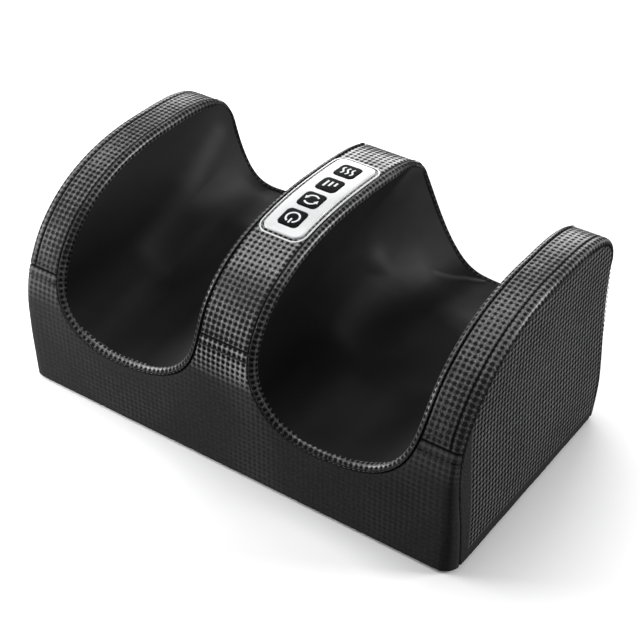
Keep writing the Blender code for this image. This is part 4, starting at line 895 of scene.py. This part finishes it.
def binding(hand, label):
    frames = rim_frames(hand)
    verts, dark, lengths = [], [], [0]
    for number, (line, spot, outward, middle, away, normal) in enumerate(frames):
        sink = blend(middle.y, *REAR_ZONE, 0, STRIP_SINK)
        behind = blend(middle.y, *REAR_ZONE, 0, REAR_DARK)
        ahead = blend(middle.y, *FRONT_ZONE, FRONT_DARK, 0)
        for d, n in BINDING:
            # Painted shade: the hem's dark line, and behind and ahead darken the binding at the rear and
            # front of the well.
            dark.append(max(math.exp(-((STRIP - d) / HEM_WIDTH) ** 2), behind if d < REAR_SHADE_END else 0,
                            ahead if d > FRONT_SHADE_START else 0))
            d += sink * clamp((-n - SUNK_FROM) / SUNK_FADE)
            n += slack(middle + away * d, *BINDING_SLACK)
            verts.append(off_rim(line, spot, outward, d, n)[0] if d > 0 else middle + away * d + normal * n)
        lengths.append(lengths[-1] + (frames[(number + 1) % len(frames)][3] - middle).length)
    count = len(BINDING)
    faces, uvs = [], []
    for i in range(len(frames)):
        here, there = i * count, (i + 1) % len(frames) * count
        for j in range(count):
            k = (j + 1) % count
            faces.append([here + j, here + k, there + k, there + j][::hand])
            uvs.append([(STRIP_SPACING * column, lengths[row])
                        for column, row in ((j, i), (j + 1, i), (j + 1, i + 1), (j, i + 1))][::hand])
    piece = new_piece(f"{label}_well_binding", verts, faces, uvs, TRIM_LEATHER)
    mark_points(piece, "sewn", dark)


for hand, label in HANDS:
    binding(hand, label)


# Stitches

THREAD_STEP = 0.0004
STITCH_PITCH = 0.0041
STITCH_LENGTH = 0.0032
THREAD_RADIUS = 0.00024
THREAD_SIDES = 6
# Places of the stitches: off a well's rim and out of the cover, off the side seam and out, above the foot
WELL_STITCH = (0.0037, 0.0004)
SIDE_STITCH, SIDE_LIFT, SIDE_FOOT = 0.0014, 0.0001, 0.002
# Across each wing and the bridge: start, end and steps, and how far out of the cover
WING_CROSS = (0.1630, 0.1870, 20)
BRIDGE_CROSS = (-0.0195, 0.0195, 30)
CROSS_LIFT = -0.0001
# Rings along a stitch: share of its length, share of the radius, and lift
STITCH = ((0, 0.35, -0.0001), (0.14, 0.95, 0.00005), (0.5, 1.05, 0.0001), (0.86, 0.95, 0.00005),
          (1, 0.35, -0.0001))


def stitches(name, paths):
    """Raised stitches along paths of places and normals, all in one piece."""
    verts, faces = [], []
    for path in paths:
        dense = resampled([tuple(p) + tuple(n) for p, n in path], THREAD_STEP)
        step = STITCH_PITCH / THREAD_STEP
        for index in range(int((len(dense) - 1) / step)):
            first = dense[round(index * step)]
            last = dense[min(round(index * step + STITCH_LENGTH / THREAD_STEP), len(dense) - 1)]
            start, end = Vector(first[:3]), Vector(last[:3])
            up = (Vector(first[3:]) + Vector(last[3:])).normalized()
            side = (end - start).normalized().cross(up)
            base = len(verts)
            for share, size, lift in STITCH:
                middle = start.lerp(end, share) + up * lift
                for k in range(THREAD_SIDES):
                    angle = math.tau * k / THREAD_SIDES
                    way = side * math.cos(angle) + up * math.sin(angle)
                    verts.append(middle + way * THREAD_RADIUS * size)
            rings = [[base + ring * THREAD_SIDES + k for k in range(THREAD_SIDES)]
                     for ring in range(len(STITCH))]
            for low, high in zip(rings, rings[1:]):
                for k in range(THREAD_SIDES):
                    n = (k + 1) % THREAD_SIDES
                    faces.append([low[k], low[n], high[n], high[k]])
            faces += [rings[0][::-1], rings[-1]]
    new_piece(name, verts, faces, [], THREAD)


def cross_path(side, s, hand, start, end, steps):
    return [skin(FRONT_LINES[side], hand * (start + (end - start) * k / steps), s, CROSS_LIFT)
            for k in range(steps + 1)]


for hand, label in HANDS:
    loop = [off_rim(line, spot, outward, *WELL_STITCH) for line, spot, outward, *_ in rim_frames(hand)]
    stitches(f"{label}_well_stitches", [loop + loop[:1]])
    x = hand * (HALF_WIDTH + SIDE_LIFT)
    stitches(f"{label}_side_stitches",
             [[(swell(Vector((x, y, max(z, FOOT + SIDE_FOOT)))), Vector((hand, 0, 0)))
               for y, z in offset(side_seam, SIDE_STITCH, 1)]])

cross = [cross_path("wing", wing_stitch, hand, *WING_CROSS) for hand in (-1, 1)]
cross.append(cross_path("bridge", bridge_stitch, 1, *BRIDGE_CROSS))
stitches("cross_seam_stitches", cross)


# Liners: stretch cloth hung in the wells

LINER_ROWS, LINER_COLUMNS = 120, 176
LINER_SECTION_STEPS = 60
LINER_END_GAP = 0.00001
CLOTH_SPACING = (0.0015, 0.0018)
CLOTH_THICKNESS = 0.0011
EDGE_CELLS = 8
# Painted sheen on the walls of the left and right wells, and along the folds and the crease
WALL_SHEEN = {-1: 0.45, 1: 0.18}
PULL_SHEEN = 0.55
# Soft folds up one wall of each well, as places along and up, and one thin crease, as places across and
# along. Both rise a little and carry painted sheen.
WING_PULLS = (((0.085, 0.138), (0.031, 0.105)), ((0.031, 0.105), (-0.020, 0.089)),
              ((0.087, 0.097), (0.031, 0.103)))
BRIDGE_PULLS = (((0.036, 0.118), (0.040, 0.105)), ((0.040, 0.105), (-0.020, 0.090)),
                ((0.067, 0.101), (0.040, 0.105)))
CREASE = ((0.060, 0.076), (0.078, 0.0945), (0.090, 0.1005))
PULL_WIDTH, PULL_RISE = 0.009, 0.0014
CREASE_WIDTH, CREASE_RISE = 0.0014, 0.0006
CREASE_SHEEN = 0.8
PULL_WALL = 0.025
# Unevenness of the cloth, as rise and scale
UNEVEN = ((0.0005, 30), (0.0002, 75))
# How upright the cloth is where the painted sheen on the walls starts, and over which change
STEEP, STEEP_FADE = 0.15, 0.6


def pulled(place, start, end, wide):
    """Share of a soft fold's full rise at a flat place."""
    way, spot = Vector(end) - Vector(start), Vector(place) - Vector(start)
    share = clamp(spot.dot(way) / way.length_squared)
    return math.exp(-((spot - way * share).length / wide) ** 2)


def wrinkle(point, hand):
    """Rise of the cloth, and its share of painted sheen."""
    wall_share = clamp((WELL_CENTRE - abs(point.x)) * hand / PULL_WALL)
    folds = BRIDGE_PULLS if hand > 0 else WING_PULLS
    pull = max(pulled((point.y, point.z), *ends, PULL_WIDTH) for ends in folds) * smooth(wall_share)
    rise = sum(size * noise.noise(point * scale) for size, scale in UNEVEN) + PULL_RISE * pull
    crease = 0
    if hand > 0:
        crease = max(pulled((point.x, point.y), *ends, CREASE_WIDTH) for ends in zip(CREASE, CREASE[1:]))
    return rise + CREASE_RISE * crease, min(pull + CREASE_SHEEN * crease, 1)


def liner(hand, label):
    reach = HALF_DEPTH - LINING - LINER_END_GAP
    inner = {side: [Vector(point) - normal * LINING for point, normal in zip(line.line, line.normals)]
             for side, line in FRONT_LINES.items()}
    cloth = []
    for row in range(LINER_ROWS + 1):
        y = -reach * math.cos(math.pi * row / LINER_ROWS)
        section = well_section(y, hand, LINER_SECTION_STEPS)
        bridge, wing = (trimmed(wall(section, side), max(readings(inner[side], y, 0), default=0))
                        for side in ("bridge", "wing"))
        whole = resampled(bridge[::-1] + wing[1:], count=LINER_COLUMNS)
        cloth.append([Vector((hand * x, y, z)) for x, z in whole])
    top, lower, stretched = [], [], []
    for i, row in enumerate(cloth):
        top.append([])
        lower.append([])
        for j, point in enumerate(row):
            across = row[min(j + 1, LINER_COLUMNS)] - row[max(j - 1, 0)]
            down = cloth[min(i + 1, LINER_ROWS)][j] - cloth[max(i - 1, 0)][j]
            normal = across.cross(down).normalized() * hand
            edge = min(i, LINER_ROWS - i, EDGE_CELLS) / EDGE_CELLS
            edge = edge * min(j, LINER_COLUMNS - j, EDGE_CELLS) / EDGE_CELLS
            rise, pull = wrinkle(point, hand)
            top[i].append(point + normal * (rise * edge))
            lower[i].append(point + normal * (rise * edge - CLOTH_THICKNESS))
            # Painted sheen: lighter on upright walls, more in the left well, and along the folds.
            steep = clamp((abs(normal.x) - STEEP) / STEEP_FADE)
            stretched.append(WALL_SHEEN[hand] * steep + PULL_SHEEN * pull)
    piece = shell(f"{label}_liner", top, lower, CLOTH_SPACING, CLOTH, flip=hand < 0)
    mark_points(piece, "stretched", stretched * 2)
    across = top[LINER_ROWS // 2]
    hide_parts(f"{label}_well_liner")


for hand, label in HANDS:
    liner(hand, label)


# Control panel, modelled flat and then laid along the bridge. A size is width, length and corner radius.

PANEL_Y = 0.0128
RIM_SIZE = (0.040, 0.107, 0.0095)
GROOVE_SIZE = (0.0377, 0.1048, 0.0085)
FLOOR_SIZE = (0.0387, 0.1058, 0.0085)
FACE_SIZE = (0.0333, 0.1004, 0.0066)
KEY_SIZE = (0.0168, 0.0172, 0.0035)
# Heights above the bridge, from and to, of each piece and of what cuts it
RIM_FOOT, RIM_TOP = -0.0006, 0.0006
FLOOR_FOOT, FLOOR_TOP = -0.0009, -0.0002
FACE_FOOT, FACE_TOP = -0.0008, 0.0016
KEY_FOOT, KEY_TOP = -0.0030, 0.0019
GROOVE_CUT = (-0.002, 0.004)
HOLE_CUT = (-0.004, 0.005)
TOP_ROUND, FACE_ROUND, FACE_ROUND_STEPS = 0.0005, 0.0011, 4
CORNER_STEPS = 6
# The ends of the panel, which aren't cut across when it is bent, and half the floor's cut length
PANEL_END, FLOOR_REACH = 0.002, 0.050
KEY_GAP = 0.0005
KEYS_Y = 0.013
KEY_SPACING = 0.0227
KEYS = {name: KEYS_Y + KEY_SPACING * (row - 1.5)
        for row, name in enumerate(("power", "direction", "speed", "heat"))}


def bridge_top(y):
    return max(readings(FRONT_LINES["bridge"].line, y, 0))


def bridge_slope(y, step=0.0018):
    return math.atan2(bridge_top(y + step) - bridge_top(y - step), 2 * step)


def only(piece):
    bpy.ops.object.select_all(action="DESELECT")
    piece.select_set(True)
    bpy.context.view_layer.objects.active = piece
    return piece


def edit(active):
    bpy.ops.object.mode_set(mode="EDIT" if active else "OBJECT")


def settle():
    bpy.ops.object.transform_apply(location=True, rotation=True, scale=True)


def round_edges(piece, test, radius, segments):
    """Round the edges whose two ends pass a test."""
    only(piece)
    edit(True)
    bpy.ops.mesh.select_mode(type="EDGE")
    bpy.ops.mesh.select_all(action="DESELECT")
    edit(False)
    verts = piece.data.vertices
    for edge in piece.data.edges:
        edge.select = test(verts[edge.vertices[0]].co, verts[edge.vertices[1]].co)
    edit(True)
    bpy.ops.mesh.bevel(offset=radius, segments=segments, affect="EDGES")
    edit(False)


def block(name, size, low, high, y=0.0):
    """A flat block with round upright corners."""
    width, length, corner = size
    bpy.ops.object.select_all(action="DESELECT")
    bpy.ops.mesh.primitive_cube_add(size=1, location=(0, y, (low + high) / 2))
    piece = only(bpy.context.object)
    piece.name = name
    piece.scale = (width, length, high - low)
    settle()
    round_edges(piece, lambda a, b: abs(a.z - b.z) > 1e-5, corner, CORNER_STEPS)
    return piece


def soften(piece, high, radius, segments=3):
    """Round the edges round a block's top."""
    round_edges(piece, lambda a, b: abs(a.z - high) < 1e-6 and abs(b.z - high) < 1e-6, radius, segments)


def carve(piece, cutter):
    only(piece)
    hollow = piece.modifiers.new("hollow", "BOOLEAN")
    hollow.operation = "DIFFERENCE"
    hollow.solver = "EXACT"
    hollow.object = cutter
    bpy.ops.object.modifier_apply(modifier=hollow.name)
    only(cutter)
    bpy.ops.object.delete()
    only(piece)


def carve_key_holes(piece, corner):
    for y in KEYS.values():
        size = (KEY_SIZE[0] + 2 * KEY_GAP, KEY_SIZE[1] + 2 * KEY_GAP, corner)
        carve(piece, block("hole", size, *HOLE_CUT, y))


def dressed(piece, finish, body, angle=35):
    piece.data.materials.clear()
    piece.data.materials.append(finish)
    only(piece)
    bpy.ops.object.shade_smooth_by_angle(angle=math.radians(angle))
    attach(piece, body)


def lay_on_bridge(piece, reach, finish, step=0.0026):
    """Cut a flat part of the panel across its length, and bend it along the bridge."""
    low, high = PANEL_Y - reach, PANEL_Y + reach
    only(piece)
    edit(True)
    count = round((high - low) / step)
    for number in range(count + 1):
        bpy.ops.mesh.select_all(action="SELECT")
        bpy.ops.mesh.bisect(plane_co=(0, low + (high - low) * number / count, 0), plane_no=(0, 1, 0))
    edit(False)
    for vert in piece.data.vertices:
        y, out = vert.co.y, vert.co.z
        slope = bridge_slope(y)
        vert.co = (vert.co.x, y - out * math.sin(slope), bridge_top(y) + out * math.cos(slope))
    dressed(piece, finish, "housing")


def panel():
    """The rim, the dark floor of the groove inside it, and the face that carries the keys."""
    rim = block("panel_rim", RIM_SIZE, RIM_FOOT, RIM_TOP, PANEL_Y)
    soften(rim, RIM_TOP, TOP_ROUND)
    carve(rim, block("groove", GROOVE_SIZE, *GROOVE_CUT, PANEL_Y))
    lay_on_bridge(rim, RIM_SIZE[1] / 2 - PANEL_END, WHITE_PLASTIC)

    floor = block("panel_groove", FLOOR_SIZE, FLOOR_FOOT, FLOOR_TOP, PANEL_Y)
    carve_key_holes(floor, KEY_SIZE[2])
    lay_on_bridge(floor, FLOOR_REACH, KEY_PLASTIC)

    face = block("panel_face", FACE_SIZE, FACE_FOOT, FACE_TOP, PANEL_Y)
    soften(face, FACE_TOP, FACE_ROUND, FACE_ROUND_STEPS)
    carve_key_holes(face, KEY_SIZE[2] + KEY_GAP)
    lay_on_bridge(face, FACE_SIZE[1] / 2 - PANEL_END, WHITE_PLASTIC)
    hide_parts("panel_bezel")


def lay_key(piece, name):
    """Stand a piece modelled round zero on a key's own axis."""
    y = KEYS[name]
    piece.data.transform(Matrix.Translation((0, y, bridge_top(y))) @ Matrix.Rotation(bridge_slope(y), 4, "X"))


def key_cap(name):
    cap = block(f"{name}_cap", KEY_SIZE, KEY_FOOT, KEY_TOP)
    soften(cap, KEY_TOP, TOP_ROUND)
    lay_key(cap, name)
    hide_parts(f"{name}_button")
    dressed(cap, KEY_PLASTIC, f"{name}_key")


# Symbols on the keys: a ring with a bar, two turning arrows, three bars and three waves, turns in degrees

RING = 0.0051
LINE, BAR_LINE, WAVE_LINE = 0.0015, 0.0017, 0.0014
POWER_ARC = (-64, 244, 36)
POWER_BAR = ((0, -0.0012), (0, -0.0062))
ARROW_STARTS = (40, 220)
ARROW_TURN, ARROW_STEPS = 118, 20
HEAD_TURN, HEAD_SIZE, HEAD_DEPTH = 126, 0.0021, 0.0005
BAR_TOP = 0.0042
BARS = ((-0.0038, -0.0040), (0, -0.0022), (0.0038, -0.0004))
WAVES_X = (-0.0040, 0, 0.0040)
WAVE_LENGTH, WAVE_SWAY, WAVE_STEPS = 0.0088, 0.0011, 18
MARK_PRESS = 0.28
MARK_LIFT = 0.00002


def trace(path, width):
    """A thin raised line drawn by pulling a small section along a path on a key's top."""
    bpy.ops.object.select_all(action="DESELECT")
    centre = (*path[0], 0)
    bpy.ops.mesh.primitive_circle_add(vertices=8, radius=width / 2, fill_type="NGON", location=centre)
    piece = only(bpy.context.object)
    settle()
    edit(True)
    bpy.ops.mesh.select_all(action="SELECT")
    bpy.ops.transform.rotate(value=math.pi / 2, orient_axis="X", center_override=centre)
    heading = math.atan2(path[1][1] - path[0][1], path[1][0] - path[0][0])
    bpy.ops.transform.rotate(value=-(heading - math.pi / 2), orient_axis="Z", center_override=centre)
    for number in range(1, len(path)):
        (ax, ay), (bx, by) = path[number - 1], path[number]
        bpy.ops.mesh.extrude_region_move(TRANSFORM_OT_translate={"value": (bx - ax, by - ay, 0)})
        if number < len(path) - 1:
            cx, cy = path[number + 1]
            turn = math.atan2(cy - by, cx - bx) - math.atan2(by - ay, bx - ax)
            turn = (turn + math.pi) % math.tau - math.pi
            if abs(turn) > 1e-4:
                bpy.ops.transform.rotate(value=-turn, orient_axis="Z", center_override=(bx, by, 0))
    bpy.ops.mesh.select_all(action="SELECT")
    bpy.ops.mesh.normals_make_consistent(inside=False)
    edit(False)
    return piece


def arrow_head(x, y, heading, size):
    """A small flat triangle whose point leads along the heading."""
    bpy.ops.object.select_all(action="DESELECT")
    bpy.ops.mesh.primitive_cylinder_add(vertices=3, radius=size, depth=HEAD_DEPTH, location=(x, y, 0),
                                        rotation=(0, 0, heading - math.pi / 2))
    piece = only(bpy.context.object)
    settle()
    return piece


def arc(start, end, steps):
    turns = [math.radians(start + (end - start) * k / steps) for k in range(steps + 1)]
    return [(RING * math.cos(turn), RING * math.sin(turn)) for turn in turns]


def mark(name, pieces):
    """Join the lines of one symbol, press them flat and set them on their key."""
    only(pieces[0])
    for piece in pieces[1:]:
        piece.select_set(True)
    if len(pieces) > 1:
        bpy.ops.object.join()
    piece = bpy.context.object
    piece.name = f"{name}_mark"
    piece.scale = (1, 1, MARK_PRESS)
    piece.location = (0, 0, KEY_TOP + MARK_LIFT)
    settle()
    lay_key(piece, name)
    dressed(piece, MARK_INK, f"{name}_key")


def turning_arrows():
    pieces = []
    for start in ARROW_STARTS:
        pieces.append(trace(arc(start, start + ARROW_TURN, ARROW_STEPS), LINE))
        angle = math.radians(start + HEAD_TURN)
        tip = RING * math.cos(angle), RING * math.sin(angle)
        pieces.append(arrow_head(*tip, angle + math.pi / 2, HEAD_SIZE))
    return pieces


def wave(x):
    low = -WAVE_LENGTH / 2
    return [(x + WAVE_SWAY * math.sin(math.tau * k / WAVE_STEPS), low + WAVE_LENGTH * k / WAVE_STEPS)
            for k in range(WAVE_STEPS + 1)]


panel()
for name in KEYS:
    key_cap(name)
mark("power", [trace(arc(*POWER_ARC), LINE), trace(POWER_BAR, LINE)])
mark("direction", turning_arrows())
mark("speed", [trace([(x, BAR_TOP), (x, low)], BAR_LINE) for x, low in BARS])
mark("heat", [trace(wave(x), WAVE_LINE) for x in WAVES_X])


# What each CAD node is made of: the first word that its name holds

NODE_FINISHES = {
    "base_plate": BLACK_PLASTIC, "board": CIRCUIT_BOARD, "film": HEAT_FILM, "pod": GREY_PLASTIC,
    "foot": RUBBER, "wheel": GEAR_NYLON, "bush": BRONZE, "shaft": STEEL, "screw": STEEL, "motor": STEEL,
    "bearing": STEEL, "plate": STEEL, "roller": SOFT_ROLLER,
}

for node in CAD_NODES:
    finish = next((finish for word, finish in NODE_FINISHES.items() if word in node.name), BLACK_PLASTIC)
    if not node.material_slots:
        node.data.materials.append(finish)
    for place in node.material_slots:
        place.material = finish


# Studio

def studio():
    bpy.ops.object.select_all(action="DESELECT")
    bpy.ops.mesh.primitive_plane_add(size=12)
    floor = bpy.context.object
    floor.name = "floor"
    material, n, where = base_material("paper_sweep", Roughness=0.9, Specular_IOR_Level=0.1)
    paper = n.mix(n.noise(where, 3), grey(0.93), grey(0.96))
    seen = n.add("ShaderNodeLightPath").outputs["Is Camera Ray"]
    n.into("Base Color", n.mix(seen, grey(0.16), paper))
    floor.data.materials.append(material)

    world = bpy.data.worlds.new("studio")
    bpy.context.scene.world = world
    world.use_nodes = True
    n = Nodes(world.node_tree)
    seen = n.add("ShaderNodeLightPath").outputs["Is Camera Ray"]
    n.fed(world.node_tree.nodes["Background"], Color=n.mix(seen, grey(0.20), grey(1)), Strength=1.0)


def soft_light(name, power, size, place, target):
    data = bpy.data.lights.new(name, "AREA")
    data.energy = power
    data.shape = "RECTANGLE"
    data.size, data.size_y = size
    lamp = bpy.data.objects.new(name, data)
    bpy.context.scene.collection.objects.link(lamp)
    way = (Vector(target) - Vector(place)).normalized()
    lamp.matrix_world = Matrix.Translation(place) @ way.to_track_quat("-Z", "Y").to_matrix().to_4x4()


studio()
soft_light("rear_soft", 27, (1.6, 0.8), (-0.85, 1.45, 0.70), (0, 0, 0.12))
soft_light("top_soft", 18, (1.2, 1.2), (-0.35, 0.0, 1.6), (0, 0, 0.1))
soft_light("left_soft", 5.6, (0.4, 0.3), (-0.62, -0.36, 0.26), (-0.15, -0.1, 0.05))
soft_light("right_rear_soft", 21, (0.6, 0.5), (1.35, 0.80, 0.66), (0, 0, 0.1))


# Camera, at the photograph's place

AIM = Vector((0, -0.001, 0.08744))
DISTANCE = 1.16915
SHIFT_RIGHT, SHIFT_DOWN = 0.00740, 0.01353
TURN, RISE, ROLL = 35.306, 36.477, 0.036
LENS, SENSOR = 88.231, 36
NEAREST = 0.05


def camera():
    turn, rise, roll = (math.radians(angle) for angle in (TURN, RISE, ROLL))
    data = bpy.data.cameras.new("camera")
    data.lens = LENS
    data.sensor_width = SENSOR
    data.clip_start = NEAREST
    shot = bpy.data.objects.new("camera", data)
    bpy.context.scene.collection.objects.link(shot)
    back = Vector((math.sin(turn) * math.cos(rise), -math.cos(turn) * math.cos(rise), math.sin(rise)))
    right = Vector((math.cos(turn), math.sin(turn), 0))
    up = back.cross(right)
    place = AIM + back * DISTANCE + right * SHIFT_RIGHT - up * SHIFT_DOWN
    axes = Matrix((right * math.cos(roll) + up * math.sin(roll), up * math.cos(roll) - right * math.sin(roll),
                   back))
    shot.matrix_world = Matrix.Translation(place) @ axes.transposed().to_4x4()
    bpy.context.scene.camera = shot


camera()
bpy.context.scene.view_settings.view_transform = "Standard"
